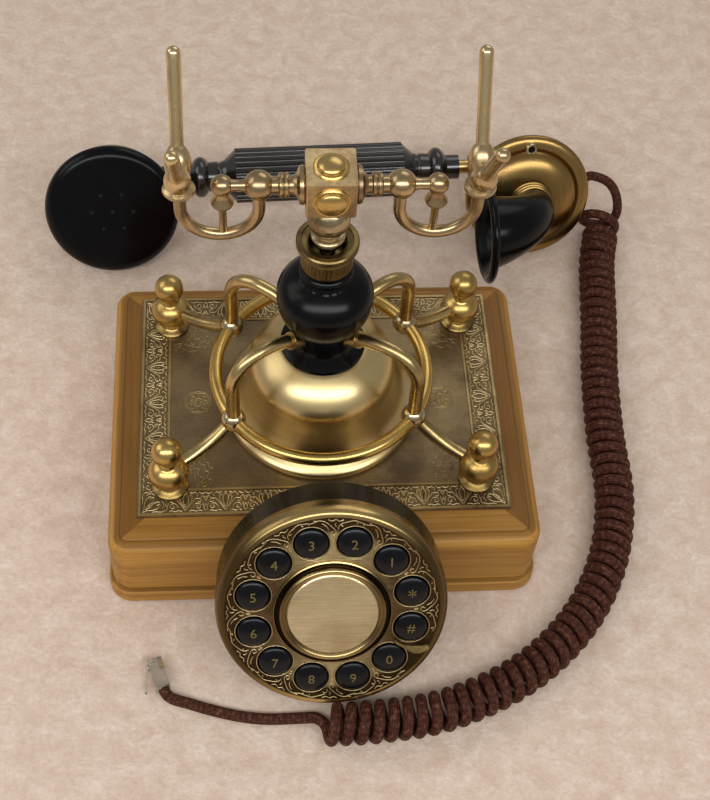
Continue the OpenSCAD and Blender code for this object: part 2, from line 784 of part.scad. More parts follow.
module dial_face() {
    stop_h = 1.8;
    color(OLD_BRASS) dial_frame() {
        difference() {
            translate([0, 0, -face_t]) cylinder(h = face_t, r = face_r);
            for (k = [0:11]) at_key(k) {
                translate([0, 0, -face_t - 1]) cylinder(h = face_t + 2, r = hole_r);
                translate([0, 0, -0.7]) cylinder(h = 1, r1 = hole_r, r2 = hole_r + 1);
            }
        }
        // The finger stop, a leaf between the last two keys
        translate([0, 0, -0.2]) linear_extrude(stop_h + 0.2)
            polygon([[28.4, -15.2], [30.4, -17.2], [33, -18.6], [36, -19], [41, -19.2], [face_r - 5, -18.6],
                     [face_r - 4.4, -21], [40, -23.4], [37, -23], [34.6, -21.6], [32, -19.6],
                     [29.3, -17.9]]);
    }
}

module dial_hub_ring() {
    color(BRASS) dial_frame() turned(concat(
        [[hub_disc_r + 0.1, 0], [hub_r, 0], [hub_r, 1.3], [hub_r - 0.5, 1.6], [hub_r - 1, 1], [hub_r - 2.5, 1]],
        arc([hub_disc_r + 1.9, hub_h - 1.6], 1.6, 0, 150, 7),
        [[hub_disc_r + 0.1, hub_h - 1.2]]));
}

module dial_centre_disc() {
    color("#c9b06a") dial_frame() turned([[0, 0], [hub_disc_r, 0], [hub_disc_r, hub_h - 1.3],
                                          [hub_disc_r - 0.6, hub_h - 0.9], [0, hub_h - 0.7]]);
}

module keypad_board() {
    color("#2f6b3a") dial_frame() translate([0, 0, keypad_z])
        cylinder(h = board_t, r = housing_r - housing_wall - 1);
}

module key_mat() {
    color("#8a8a86") dial_frame() {
        translate([0, 0, mat_z]) cylinder(h = mat_t, r = face_r);
        for (k = [0:11]) at_key(k) translate([0, 0, mat_z + mat_t])
            cylinder(h = mat_dome_h, r1 = 5, r2 = 3.4);
    }
}

module dial_key(k) {
    color(BLACK) dial_frame() at_key(k) turned(concat(
        [[0, key_low], [key_r, key_low], [key_r, -face_t - run_gap - key_flange_t],
         [key_flange_r, -face_t - run_gap - key_flange_t], [key_flange_r, -face_t - run_gap],
         [key_r, -face_t - run_gap]],
        oval([0, 0], key_r, key_dome_h, 0, 90, 8)));
}

// ---- Cradle ----

module cradle_stem() {
    color(BRASS) above_plate() turned(concat(
        [[0, stem_z], [6, stem_z], [6, stem_z + 2.6], [7, stem_z + 2.8]],
        arc([stem_ring_r - 1.3, stem_z + 4.2], 1.3, -70, 70, 5),
        [[5.6, stem_z + 5.9], [5.4, stem_z + 7]],
        arc([0, stem_ball_z], stem_ball_r, -54, 54, 16),
        [[6, block_z - 1.6], [6.8, block_z - 0.8], [6.8, block_z], [0, block_z]]));
}

module plunger_rod() {
    color("silver") above_plate() {
        translate([0, 0, plunger_low]) cylinder(h = stem_z - plunger_low, r = plunger_r);
        translate([0, 0, flange_z]) cylinder(h = flange_t, r = flange_r);
    }
}

module plunger_spring() {
    low = tie_top + spring_d / 2 + 0.1;
    high = flange_z - spring_d / 2 - 0.1;
    steps = spring_turns * 12;
    color("silver") above_plate() skin([for (i = [0:steps])
        let (a = 30 * i, e1 = [cos(a), sin(a), 0], up = [0, 0, 1])
        ring(spring_r * e1 + (low + (high - low) * i / steps) * up, e1, up, spring_d / 2, 6)]);
}

module cradle_block() {
    edge = 0.8;
    h = block_half;
    color(BRASS) translate([0, 0, top_z + block_z]) intersection() {
        translate([-h, -h, 0]) cube([block_w, block_w, block_h]);
        rotate([0, 0, 45]) translate([0, 0, block_h / 2])
            cube([2 * (h - edge / 2) * sqrt(2), 2 * (h - edge / 2) * sqrt(2), block_h], center = true);
    }
}

module domed_cap(r) {
    turned(concat([[0, 0], [r + 1.6, 0], [r + 1.6, 0.5], [r + 1.1, 1], [r + 0.2, 0.9]],
                  oval([0, 0.9], r, 3, 0, 90, 8)));
}

module block_caps() {
    color(BRASS) above_plate() {
        translate([0, 0, block_z + block_h]) domed_cap(6);
        for (a = [90, -90]) translate([0, 0, block_z + block_h / 2 - 0.4]) rotate([a, 0, 0])
            translate([0, 0, block_half]) domed_cap(6.4);
    }
}

module both_sides() {
    for (m = [0, 1]) mirror([m, 0, 0]) children();
}

module cradle_arms() {
    color(BRASS) above_plate() both_sides() {
        translate([0, 0, arm_z]) rotate([0, 90, 0]) turned(concat(
            [[0, block_half], [arm_flange_r - 0.6, block_half], [arm_flange_r, block_half + 0.8],
             [arm_flange_r - 0.4, block_half + 2.4], [5, block_half + 3.6], [4, block_half + 5],
             [3.8, block_half + 6.6]],
            arc([4.4, block_half + 7.8], 1, -80, 80, 4),
            arc([4.4, block_half + 10], 1, -80, 80, 4),
            [[3.6, block_half + 11.4]],
            arc([0, arm_ball_x], arm_ball_r, -56, 64, 14),
            [[2.4, arm_ball_x + arm_ball_r + 1.4], [2.5, arm_tip_x - arm_tip_r - 0.6]],
            arc([0, arm_tip_x], arm_tip_r, -56, 90, 12)));
        // The bell and pin below each arm's tip, down to the U-shaped rest
        translate([arm_tip_x, 0, 0]) turned([[0, arm_z - 3], [2.6, arm_z - 3], [2.9, arm_z - 6],
            [5, arm_z - 9.6], [4.8, arm_z - 10.6], [2.4, arm_z - 11], [1.7, arm_z - 12.5],
            [1.7, rest_z - rest_r + rest_tube_r - 0.6], [0, rest_z - rest_r + rest_tube_r - 0.6]]);
    }
}

module cradle_u_tubes() {
    color(BRASS) above_plate() difference() {
        both_sides() {
            bent_tube([rest_x, rest_z], rest_r, 180, 360, rest_tube_r);
            translate([arm_ball_x, 0, rest_z]) cylinder(h = arm_z - rest_z - 3, r = rest_tube_r);
            translate([fork_x, 0, rest_z]) cylinder(h = fork_z - rest_z - 5, r = rest_tube_r);
        }
        both_sides() {
            translate([arm_ball_x, 0, arm_z]) sphere(arm_ball_r);
            translate([arm_tip_x, 0, 0]) translate([0, 0, rest_z - rest_r + rest_tube_r - 0.6])
                cylinder(h = 4, r = 1.7);
        }
    }
}

module prong() {
    rod_end_r = 3;
    turned(concat(
        [[0, 0], [3.4, 0], [3.8, 2]],
        oval([0, 9.6], prong_bulb_d / 2, 8.6, -52, 60, 12),
        [[2.8, 18.6], [2.8, 22], [rod_end_r, prong_len - rod_end_r]],
        arc([0, prong_len - rod_end_r], rod_end_r, 10, 90, 6)));
}

module cradle_forks() {
    color(BRASS) above_plate() both_sides() translate([fork_x, 0, fork_z]) {
        translate([0, 0, -5]) turned([[0, 0], [3.6, 0], [4.4, 1.4], [fork_collar_r - 0.6, 2],
            [fork_collar_r, 3], [fork_collar_r - 0.4, 4], [5, 5], [4.4, 6.4], [0, 6.4]]);
        for (s = [-1, 1]) rotate([s * prong_lean, 0, 0]) prong();
    }
}

// ---- Handset ----

module handset_frame() {
    translate(handset_at) rotate([0, 0, handset_yaw]) rotate([90 - handset_tilt, 0, 0]) children();
}

module receiver_frame() {
    handset_frame() translate(receiver_at) children();
}

module transmitter_frame() {
    handset_frame() translate([shell_x, shell_y, 0]) children();
}

module receiver_cap() {
    shoulder = 6;
    face = 3;
    low = -receiver_cap_h;
    color(BLACK) receiver_frame() difference() {
        turned(concat(
            [[receiver_r - 4.5 - receiver_wall, low], [receiver_r - 4.5, low],
             [receiver_r - 2, low * 0.65]],
            arc([receiver_r - shoulder, -shoulder], shoulder, 0, 90, 8),
            [[0, -0.8], [0, -face], [receiver_r - shoulder - receiver_wall, -face],
             [receiver_r - 2 - receiver_wall, low * 0.5]]));
        translate([0, 0, -face - 1]) cylinder(h = face + 2, r = 1.5);
        for (a = [0:60:300]) rotate([0, 0, a]) translate([11.5, 0, -face - 1])
            cylinder(h = face + 2, r = 1.5);
    }
}

module rod_hole(r) {
    rotate([0, 90, 0]) cylinder(h = 2 * (receiver_r - receiver_at[0]), r = r, center = true);
}

module receiver_shell() {
    top = -receiver_cap_h;
    r = receiver_r - 4.5;
    wall = 2;
    deep = receiver_back - receiver_cap_h;
    color(BLACK) handset_frame() difference() {
        union() {
            translate(receiver_at) turned(concat(
                [[0, top - deep]], oval([0, top], r, deep, -75, -4, 10),
                [[r, top], [r - 4, top], [r - 4, -13.6], [r - 6, -13.6]],
                oval([0, top], r - 6, deep - wall, 0, -90, 10)));
            // The boss on the side towards the grip
            translate([receiver_at[0] + r - 5, 0, 0]) rotate([0, 90, 0])
                cylinder(h = grip_mid - grip_len / 2 - bead_x - bead_half - receiver_at[0] - r + 5, r = 7);
        }
        rod_hole(rod_r + seat_gap);
        translate(receiver_at) turned(concat([[0, -13], [r - 6, -13]],
            oval([0, top], r - 6, deep - wall, 0, -90, 10)));
    }
}

module receiver_capsule() {
    color("#3a3a3e") receiver_frame() translate([0, 0, -13.5]) cylinder(h = 10.4, r = receiver_r - 11);
}

module grip_end(sign) {
    half = grip_len / 2;
    outline = concat(
        [[0, half - 1], [grip_r - 0.6, half], [grip_r - 2, half + 1.6], [grip_neck_r + 1, half + 6.5]],
        arc([grip_neck_r + 1.4, half + neck_x], 1.4, -120, -240, 4),
        oval([0, half + bead_x], bead_r, bead_half, -44, 44, 10),
        [[7, half + bead_x + bead_half - 0.6], [7, half + bead_x + bead_half], [0, half + bead_x + bead_half]]);
    rotate([0, 90, 0]) if (sign > 0) turned(outline); else mirror([0, 0, 1]) turned(outline);
}

module handset_grip() {
    half = grip_len / 2;
    color(BLACK) handset_frame() difference() {
        translate([grip_mid, 0, 0]) {
            rotate([0, 90, 0]) linear_extrude(grip_len, center = true) difference() {
                circle(grip_r);
                for (k = [0:flutes - 1]) rotate(360 * k / flutes)
                    translate([grip_r + flute_r * 0.45, 0]) circle(flute_r, $fn = 16);
            }
            grip_end(1);
            grip_end(-1);
            // The plain ring between the bead and the brass rod
            translate([half + bead_x + bead_half, 0, 0]) rotate([0, 90, 0])
                cylinder(h = ferrule_x - bead_x - bead_half, r = 7);
        }
        rod_hole(rod_r + seat_gap);
    }
}

module handset_rod() {
    start = receiver_at[0] + receiver_r - 14;
    finish = shell_x - 19;
    color(BRASS) handset_frame() translate([start, 0, 0]) rotate([0, 90, 0])
        cylinder(h = finish - start, r = rod_r);
}

// The bowl's outside, from the middle of its back to its rim
function shell_outline() = concat(
    [[0, bowl_z - bowl_deep]], oval([0, bowl_z], bowl_r, bowl_deep, -84, 0, 12),
    [[transmitter_r - 0.6, rim_z - 1.2], [transmitter_r, rim_z - 0.6]]);

module at_gland() {
    rotate([0, 0, gland_turn]) translate([0, 0, gland_z]) rotate([0, 90, 0]) children();
}

module transmitter_shell() {
    r = transmitter_r;
    color(OLD_BRASS) handset_frame() difference() {
        union() {
            translate([shell_x, shell_y, 0]) turned(concat(shell_outline(), [[r, rim_z], [0, rim_z]]));
            translate([shell_x - r + rim_over_boss, 0, 0]) rotate([0, 90, 0])
                cylinder(h = boss_end - shell_x + r - rim_over_boss, r = boss_r);
            translate([boss_end, 0, 0]) sphere(boss_r);
        }
        rod_hole(rod_r + seat_gap);
        translate([shell_x, shell_y, 0]) {
            turned(concat([[0, rim_z + 1], [r - 3.4, rim_z + 1], [r - 3.4, rim_z - 0.4]],
                          oval([0, bowl_z], bowl_r - shell_wall, bowl_deep - shell_wall, 0, -90, 12)));
            at_gland() cylinder(h = r + 9, r = cord_r + seat_gap);
        }
    }
}

module transmitter_front() {
    r = transmitter_r;
    w = shell_wall;
    groove_z = rim_z + band_h - 1;
    crown = groove_r - neck_ring_r;
    screw_turn = 90;
    color(OLD_BRASS) transmitter_frame() {
        turned(concat(
            [[r - 4.4, rim_z - 1.6], [r - 4.4, rim_z], [r, rim_z]],
            oval([r - 5, rim_z + 0.4], 5, band_h - 0.4, 5, 85, 6),
            [[groove_r + 1, rim_z + band_h], [groove_r, groove_z]],
            oval([neck_ring_r, groove_z], crown - 0.4, front_dome_h + 1, 8, 84, 10),
            flat_list([for (k = [0:neck_rings - 1])
                arc([neck_ring_r - k * 0.5 - 1, neck_z + (k + 0.5) * neck_ring_h], neck_ring_h / 2, -80, 80, 4)]),
            [[horn_root_r - horn_wall, horn_z], [horn_root_r - horn_wall, neck_z - w], [neck_ring_r, neck_z - w]],
            oval([neck_ring_r, groove_z], crown - w, front_dome_h + 1 - w, 80, 10, 8),
            [[groove_r - w, rim_z + 1], [r - 5.2, rim_z + 1], [r - 5.2, rim_z - 1.6]]));
        // The ring-headed screw that holds the front
        rotate([0, 0, screw_turn]) translate([groove_r + 0.8, 0, groove_z]) turned(
            [[0, 0], [3.4, 0], [3.4, 2.2], [2.9, 2.8], [1.9, 2.6], [1.6, 1.6], [0, 1.6]]);
    }
}

module mic_capsule() {
    color("#3a3a3e") transmitter_frame() translate([0, 0, neck_z - shell_wall - mic_h])
        cylinder(h = mic_h, r = mic_r);
}

// One ring of the horn at turn a round its bend, from the root (0) to the mouth (90)
function horn_ring(a, r) =
    let (e1 = unit([bend_z * cos(a), 0, bend_x * sin(a)]),
         c = [shell_x - bend_x + bend_x * cos(a), shell_y + horn_drop * (1 - cos(a)), horn_z + bend_z * sin(a)])
    ring(c, e1, [0, 1, 0], r, horn_sides);

// A ring of the mouth, a distance in front of the bend's end
function mouth_ring(ahead, r) =
    let (c = [shell_x - bend_x - ahead, shell_y + horn_drop, horn_z + bend_z])
    ring(c, [0, 0, 1], [0, 1, 0], r, horn_sides);

function horn_r(a) = horn_root_r + (horn_body_r - horn_root_r) * pow(a / 90, 1.3);

module horn() {
    outer = [for (i = [0:horn_steps]) let (a = 90 * i / horn_steps) horn_ring(a, horn_r(a))];
    inner = [for (i = [horn_steps:-1:0]) let (a = 90 * i / horn_steps) horn_ring(a, horn_r(a) - horn_wall)];
    lip = [mouth_ring(0.6, mouth_r - 1.4), mouth_ring(2, mouth_r), mouth_ring(3.6, mouth_r - 0.4),
           mouth_ring(mouth_lip, mouth_r - 2.4), mouth_ring(mouth_lip - 0.4, mouth_r - 4.4),
           mouth_ring(1.6, horn_body_r + 0.4)];
    color(BLACK) handset_frame() hollow_skin(concat(outer, lip, inner));
}

module cord_gland() {
    color(BLACK) transmitter_frame() difference() {
        at_gland() translate([0, 0, transmitter_r - gland_len]) turned(
            [[0, 0], [gland_r, 0], [gland_r, gland_len - 1.6], [gland_r - 0.8, gland_len], [0, gland_len]]);
        // Cut a running fit clear of the bowl
        turned(concat([[0, bowl_z - bowl_deep - 0.2]],
                      oval([0, bowl_z], bowl_r + 0.15, bowl_deep + 0.15, -84, 0, 12), [[0, bowl_z]]));
    }
}

// ---- Cord ----

module cord_lead() {
    color(CORD_BROWN) cord_tube(lead_route, unit([1, 1, 0.4]));
}

module cord_tail() {
    color(CORD_BROWN) cord_tube(tail_route, [0, 0, 1]);
}

coil_lengths = run_lengths(coil_route);
coil_len = coil_lengths[len(coil_lengths) - 1];
curl_run = (coil_len - cord_d) / curls;

// The middle of the cord after t curls: it returns to the axis over the last curl
function curl_swell(t) = let (x = max(0, min(1, curls - t))) x * x * (3 - 2 * x);

function coil_frame(t) =
    let (u = u_at(coil_lengths, t * curl_run), d = curve_dir(coil_route, u),
         side = unit(cross(d, [0, 0, 1])),
         out = cos(360 * t) * side + sin(360 * t) * [0, 0, 1])
    [curve_at(coil_route, u) + curl_r * curl_swell(t) * out, out, d];

coil_points = [for (i = [0:curls * curl_rings]) coil_frame(i / curl_rings)];

module cord_coil() {
    last = len(coil_points) - 1;
    middle = [for (i = [0:last])
        let (f = coil_points[i],
             t = unit(coil_frame(min(i / curl_rings + 0.01, curls))[0]
                      - coil_frame(max(i / curl_rings - 0.01, 0))[0]),
             e2 = unit(cross(t, f[1])), e1 = cross(e2, t))
        ring(f[0], e1, e2, cord_r, coil_sides)];
    final = coil_points[last];
    finish = ring(coil_route[len(coil_route) - 1], final[1], cross(final[2], final[1]), cord_r, coil_sides);
    color(CORD_BROWN) skin(concat(middle, [finish]));
}

// The least gap between one curl and the next
coil_gap = min([for (i = [0:len(coil_points) - 1]) for (j = [i + 6:min(i + 10, len(coil_points) - 1)])
    norm(coil_points[i][0] - coil_points[j][0])]) - cord_d;
echo(coil_length = coil_len, curl_run = curl_run, least_gap = coil_gap);

module plug() {
    latch_t = 1;
    color("#d8d8d0") translate(plug_at) rotate([0, 0, plug_yaw]) {
        translate([-plug_h / 2, 0, -plug_w / 2 + 0.02]) cube([plug_h, plug_len, plug_w - 0.04]);
        // The latch, hinged at the nose and standing off towards the cord
        translate([0, 0, -1.6]) linear_extrude(3.2)
            polygon([[-plug_h / 2 + 0.1, plug_len - 1], [-plug_h / 2 - 1.2, plug_len - 1.4],
                     [-plug_h / 2 - 5.6, 0.6], [-plug_h / 2 - 5.6 + latch_t, 0.4],
                     [-plug_h / 2 - 0.6, plug_len - 3.4], [-plug_h / 2 + 0.1, plug_len - 4]]);
    }
}

wood_base();
bottom_cover();
base_pad();
cover_screws();
circuit_board();
ringer();
hook_switch();
line_jack();
handset_jack();
base_plate();
corner_posts();
dome();
tie_tube();
column();
column_collar();
cage_ring();
cage_brackets();
cage_struts();
dial_mount();
dial_housing();
dial_rim();
dial_face();
dial_hub_ring();
dial_centre_disc();
keypad_board();
key_mat();
for (k = [0:11]) dial_key(k);
cradle_stem();
plunger_rod();
plunger_spring();
cradle_block();
block_caps();
cradle_arms();
cradle_u_tubes();
cradle_forks();
receiver_cap();
receiver_shell();
receiver_capsule();
handset_grip();
handset_rod();
transmitter_shell();
transmitter_front();
mic_capsule();
horn();
cord_gland();
cord_lead();
cord_coil();
cord_tail();
plug();
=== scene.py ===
"""The finish of an antique-style push-button desk telephone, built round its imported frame.

Shapes are written in millimetres, as in the part's source, and put on the mesh in metres.
"""
import json
import math

import bpy
import numpy as np
from mathutils import Matrix, Vector

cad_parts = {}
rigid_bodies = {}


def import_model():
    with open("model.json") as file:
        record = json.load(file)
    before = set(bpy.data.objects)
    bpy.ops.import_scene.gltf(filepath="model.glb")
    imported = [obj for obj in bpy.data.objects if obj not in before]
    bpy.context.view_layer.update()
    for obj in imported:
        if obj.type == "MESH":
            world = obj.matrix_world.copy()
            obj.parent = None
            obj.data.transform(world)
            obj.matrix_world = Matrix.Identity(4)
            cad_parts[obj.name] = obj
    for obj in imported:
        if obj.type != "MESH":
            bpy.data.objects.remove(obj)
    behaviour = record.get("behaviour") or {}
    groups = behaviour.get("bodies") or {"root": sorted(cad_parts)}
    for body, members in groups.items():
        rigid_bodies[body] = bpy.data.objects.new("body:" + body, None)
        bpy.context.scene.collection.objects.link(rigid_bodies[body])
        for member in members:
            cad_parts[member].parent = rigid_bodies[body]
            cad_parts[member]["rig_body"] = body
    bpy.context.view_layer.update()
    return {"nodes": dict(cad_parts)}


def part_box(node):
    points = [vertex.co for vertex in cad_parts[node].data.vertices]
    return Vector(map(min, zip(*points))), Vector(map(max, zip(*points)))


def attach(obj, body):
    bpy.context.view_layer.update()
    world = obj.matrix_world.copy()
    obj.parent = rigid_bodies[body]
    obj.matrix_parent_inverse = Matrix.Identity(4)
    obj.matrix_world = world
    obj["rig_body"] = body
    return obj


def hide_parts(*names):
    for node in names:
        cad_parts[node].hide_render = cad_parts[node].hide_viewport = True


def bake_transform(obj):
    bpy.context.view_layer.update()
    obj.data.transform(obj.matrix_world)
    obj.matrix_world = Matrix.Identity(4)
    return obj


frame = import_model()


def moved(x, y, z):
    return Matrix.Translation((x, y, z))


def turned(degrees, axis):
    return Matrix.Rotation(math.radians(degrees), 4, axis)


MM = 0.001
BASE_X, BASE_Y, BASE_SHIFT = 104.0, 79.5, -4.0  # half the base's width and depth, and its centre's y
PLATE_X, PLATE_Y, PLATE_TOP = 90.0, 65.8, 50.0  # half the plate's width and depth, and its upper face's z
POST_X, POST_Y = 74.5, 48.5  # the posts' places
SHELL_X, SHELL_Y = 109.0, -11.5  # the transmitter's axis in the handset's frame

LEVEL = Matrix.Identity(4)
ABOVE = moved(0, 0, PLATE_TOP)
DIAL = moved(0, -124, 62) @ turned(60, "X")
HANDSET = moved(17, 169.35, 34.5) @ turned(2.5, "Z") @ turned(64, "X")
RECEIVER = HANDSET @ moved(-127.8, -8.6, 26.7)
TRANSMITTER = HANDSET @ moved(SHELL_X, SHELL_Y, 0)
PLUG = moved(-79, -133.4, 3.825) @ turned(18, "Z")


def linked(name, data):
    """A new object with this data, in the scene."""
    made = bpy.data.objects.new(name, data)
    bpy.context.scene.collection.objects.link(made)
    return made


# ---- Camera and light ----

def srgb(red, green, blue):
    """A colour named by its 0 to 255 values, as the linear colour that nodes take."""
    linear = [c / 12.92 if c <= 0.04045 else ((c + 0.055) / 1.055) ** 2.4
              for c in (red / 255, green / 255, blue / 255)]
    return (*linear, 1.0)


CAMERA_AT = (-0.03616, -0.42102, 0.6685)
CAMERA_TURNS = (7.315, -55.598, 4.889)  # yaw, pitch and roll
SENSOR = 36.0
FOCAL, FRAME_HIGH = 1484.69, 800  # the focal length and the frame's height, in pixels


def set_up_camera():
    yaw, pitch, roll = (math.radians(a) for a in CAMERA_TURNS)
    ahead = Vector((math.sin(yaw) * math.cos(pitch), math.cos(yaw) * math.cos(pitch), math.sin(pitch)))
    side = Vector((math.cos(yaw), -math.sin(yaw), 0))
    up = side.cross(ahead)
    right = math.cos(roll) * side + math.sin(roll) * up
    above = math.cos(roll) * up - math.sin(roll) * side
    data = bpy.data.cameras.new("camera")
    data.sensor_width = SENSOR
    data.lens = FOCAL / FRAME_HIGH * SENSOR
    data.clip_start = 0.01
    camera = linked("camera", data)
    camera.matrix_world = moved(*CAMERA_AT) @ Matrix((right, above, -ahead)).transposed().to_4x4()
    bpy.context.scene.camera = camera


def softbox(name, place, size, watts, colour):
    """A rectangular lamp that faces the middle of the base."""
    data = bpy.data.lights.new(name, "AREA")
    data.shape = "RECTANGLE"
    data.energy = watts
    data.color = colour
    data.size, data.size_y = size
    lamp = linked(name, data)
    lamp.location = place
    lamp.rotation_euler = (Vector((0, 0, 0.05)) - Vector(place)).to_track_quat("-Z", "Y").to_euler()


set_up_camera()
softbox("window_light", (-0.02, -0.80, 1.08), (2.3, 0.36), 14.5, (0.96, 0.98, 1))
softbox("left_light", (-1.1, 0.25, 0.9), (0.8, 0.8), 2.6, (1, 0.97, 0.93))
softbox("back_light", (0.5, 1.0, 1.1), (0.9, 0.7), 2.2, (1, 0.98, 0.95))
bpy.context.scene.view_settings.view_transform = "Standard"


# ---- Cord ----

CORD_D = 5.4
CURL_R = 7.7  # from the curls' axis to the middle of the cord
CURLS = 58
TURN_R = 8.0  # of the last turn, which lies on the table
# The curls' axis, then the way in from the handset and the way out to the plug
COIL_ROUTE = np.array([(x, y, 10.5) for x, y in (
    (172, 139), (166.7, 117), (161.8, 78), (156.5, 39), (153.5, 0), (152.5, -39), (143, -76),
    (123.5, -108.5), (94, -134.5), (57, -151), (24, -156.2), (-9, -157))])
LEAD_ROUTE = np.array([
    (162.2, 162.6, 35.1), (166.6, 163.2, 35.5), (174.6, 162.3, 32.6), (180, 160.2, 27.6),
    (183, 156.4, 20.6), (183.2, 153.2, 13.2), (180.3, 153.2, 6.4), (173.3, 153.9, 3.5),
    (166.1, 153.8, 6.1), (162.6, 151.8, 12.6), (164.9, 148.5, 19.1), (171.3, 145.3, 21.7),
    (178.1, 143.6, 18.6), (181.1, 143.8, 11.6), (178.3, 143.9, 5.2), (171.9, 143.4, 2.9),
    (166.2, 142.2, 5)])
TAIL_ROUTE = np.array([
    (-13.5, -150.2, 2.8), (-20, -150.3, 2.8), (-29, -150.2, 2.8), (-38, -149.2, 2.8), (-47, -147.3, 2.8),
    (-57, -144.4, 2.8), (-66.5, -141.1, 2.85), (-70.6, -139.8, 2.95), (-73.55, -138.85, 3.1),
    (-75.92, -137.65, 3.35), (-77.8, -135.77, 3.6), (-79, -133.5, 3.8)])


def curve_at(points, u):
    """A point of the smooth curve through the points: u = i is the point points[i]."""
    last = len(points) - 1
    i = max(0, min(int(math.floor(u)), last - 1))
    t = u - i
    b, c = points[i], points[i + 1]
    a = points[i - 1] if i > 0 else 2 * points[0] - points[1]
    d = points[i + 2] if i + 2 <= last else 2 * points[last] - points[last - 1]
    return 0.5 * (2 * b + (c - a) * t + (2 * a - 5 * b + 4 * c - d) * t * t
                  + (3 * b - a - 3 * c + d) * t ** 3)


def curve_dir(points, u, step=0.02):
    chord = curve_at(points, min(u + step, len(points) - 1)) - curve_at(points, max(u - step, 0))
    return chord / np.linalg.norm(chord)


def run_along(line):
    """The distance along a line to each of its points."""
    return np.concatenate([[0], np.cumsum(np.linalg.norm(np.diff(line, axis=0), axis=1))])


def cord_curls(per_curl=28):
    """The curls' middle line, from the lead's end to the table at the last quarter turn."""
    lengths = run_along(COIL_ROUTE)
    run = (lengths[-1] - CORD_D) / CURLS
    line = []
    for i in range(CURLS * per_curl - per_curl // 4 + 1):
        t = i / per_curl
        s = t * run
        k = min(int(np.searchsorted(lengths, s, "right")) - 1, len(lengths) - 2)
        u = k + (s - lengths[k]) / (lengths[k + 1] - lengths[k])
        ahead = curve_dir(COIL_ROUTE, u)
        side = np.cross(ahead, (0, 0, 1))
        side /= np.linalg.norm(side)
        out = math.cos(2 * math.pi * t) * side + math.sin(2 * math.pi * t) * np.array((0, 0, 1))
        line.append(curve_at(COIL_ROUTE, u) + CURL_R * out)
    return line


def cord_centreline():
    """The whole cord's middle, from the handset, through the curls, to the plug."""
    curls = cord_curls()
    into_curls = np.array([*LEAD_ROUTE, curls[0], curls[4]])
    lead = [curve_at(into_curls, u) for u in np.arange(0, len(LEAD_ROUTE), 0.2)]
    # The last curl turns along the table towards the plug
    heads = [math.radians(a) for a in range(8, 80, 14)]
    arms = [TURN_R * np.array((math.cos(a), math.sin(a), 0)) for a in heads]
    out_of_curls = np.array([*(curls[-1] - arms[0] + arm for arm in arms), *TAIL_ROUTE])
    tail = [curve_at(out_of_curls, u) for u in np.arange(0.25, len(out_of_curls) - 0.99, 0.25)]
    return np.array([*lead, *curls, *tail])


def ring_faces(count, sides):
    """The faces between rings of points, of which the last is joined to the first."""
    return [(i * sides + k, i * sides + (k + 1) % sides, (i + 1) % count * sides + (k + 1) % sides,
             (i + 1) % count * sides + k) for i in range(count) for k in range(sides)]


def cord_skin(line, radius, sides=12):
    """Rings round a line, turned as little as possible from one to the next, with UVs along and round.
    Gives the points, the faces, the UVs and the line's length."""
    step = np.gradient(line, axis=0)
    ahead = step / np.linalg.norm(step, axis=1)[:, None]
    run = run_along(line)
    rings = []
    side = np.cross(ahead[0], (0, 0, 1))
    angles = np.linspace(0, 2 * math.pi, sides, endpoint=False)
    for point, d in zip(line, ahead):
        side = side - (side @ d) * d
        side /= np.linalg.norm(side)
        other = np.cross(d, side)
        rings.append(point + radius * (np.cos(angles)[:, None] * side + np.sin(angles)[:, None] * other))
    last = (len(line) - 1) * sides
    faces = ring_faces(len(line), sides)[:-sides]
    faces += [tuple(range(sides))[::-1], tuple(range(last, last + sides))]
    uv = []
    for here, there in zip(run[:-1] * MM, run[1:] * MM):
        for k in range(sides):
            low, high = k / sides, (k + 1) / sides
            uv += [(here, low), (here, high), (there, high), (there, low)]
    uv += [(0, 0)] * (2 * sides)
    return np.concatenate(rings), faces, uv, run[-1]


def placed(points, place):
    """Points in millimetres in a frame of their own, as metres in the shared frame."""
    turn = np.array(place)
    return (np.asarray(points, float) @ turn[:3, :3].T + turn[:3, 3]) * MM


def smooth_mesh(name, points, faces):
    mesh = bpy.data.meshes.new(name)
    mesh.from_pydata(points, [], faces)
    mesh.polygons.foreach_set("use_smooth", [True] * len(mesh.polygons))
    return mesh


def piece(name, points, faces, body, place=LEVEL, sharp=35.0, uv=None):
    """A mesh piece from points in millimetres, on the body if one is given, else on none."""
    mesh = smooth_mesh(name, placed(points, place), faces)
    if sharp:
        mesh.set_sharp_from_angle(angle=math.radians(sharp))
    if uv is not None:
        mesh.uv_layers.new(name="along").data.foreach_set("uv", np.asarray(uv, np.float32).ravel())
    mesh.validate()
    return settle(name, mesh, body)


def settle(name, mesh, body):
    """A finished mesh as an object that rides on a body."""
    made = linked(name, mesh)
    if body:
        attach(made, body)
    return made


cord_line = cord_centreline()
cord_points, cord_faces, cord_uv, cord_length = cord_skin(cord_line, CORD_D / 2)
cord = piece("curly_cord", cord_points, cord_faces, None, sharp=None, uv=cord_uv)
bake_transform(cord)
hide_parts("cord_lead", "cord_coil", "cord_tail")


# ---- Node trees ----

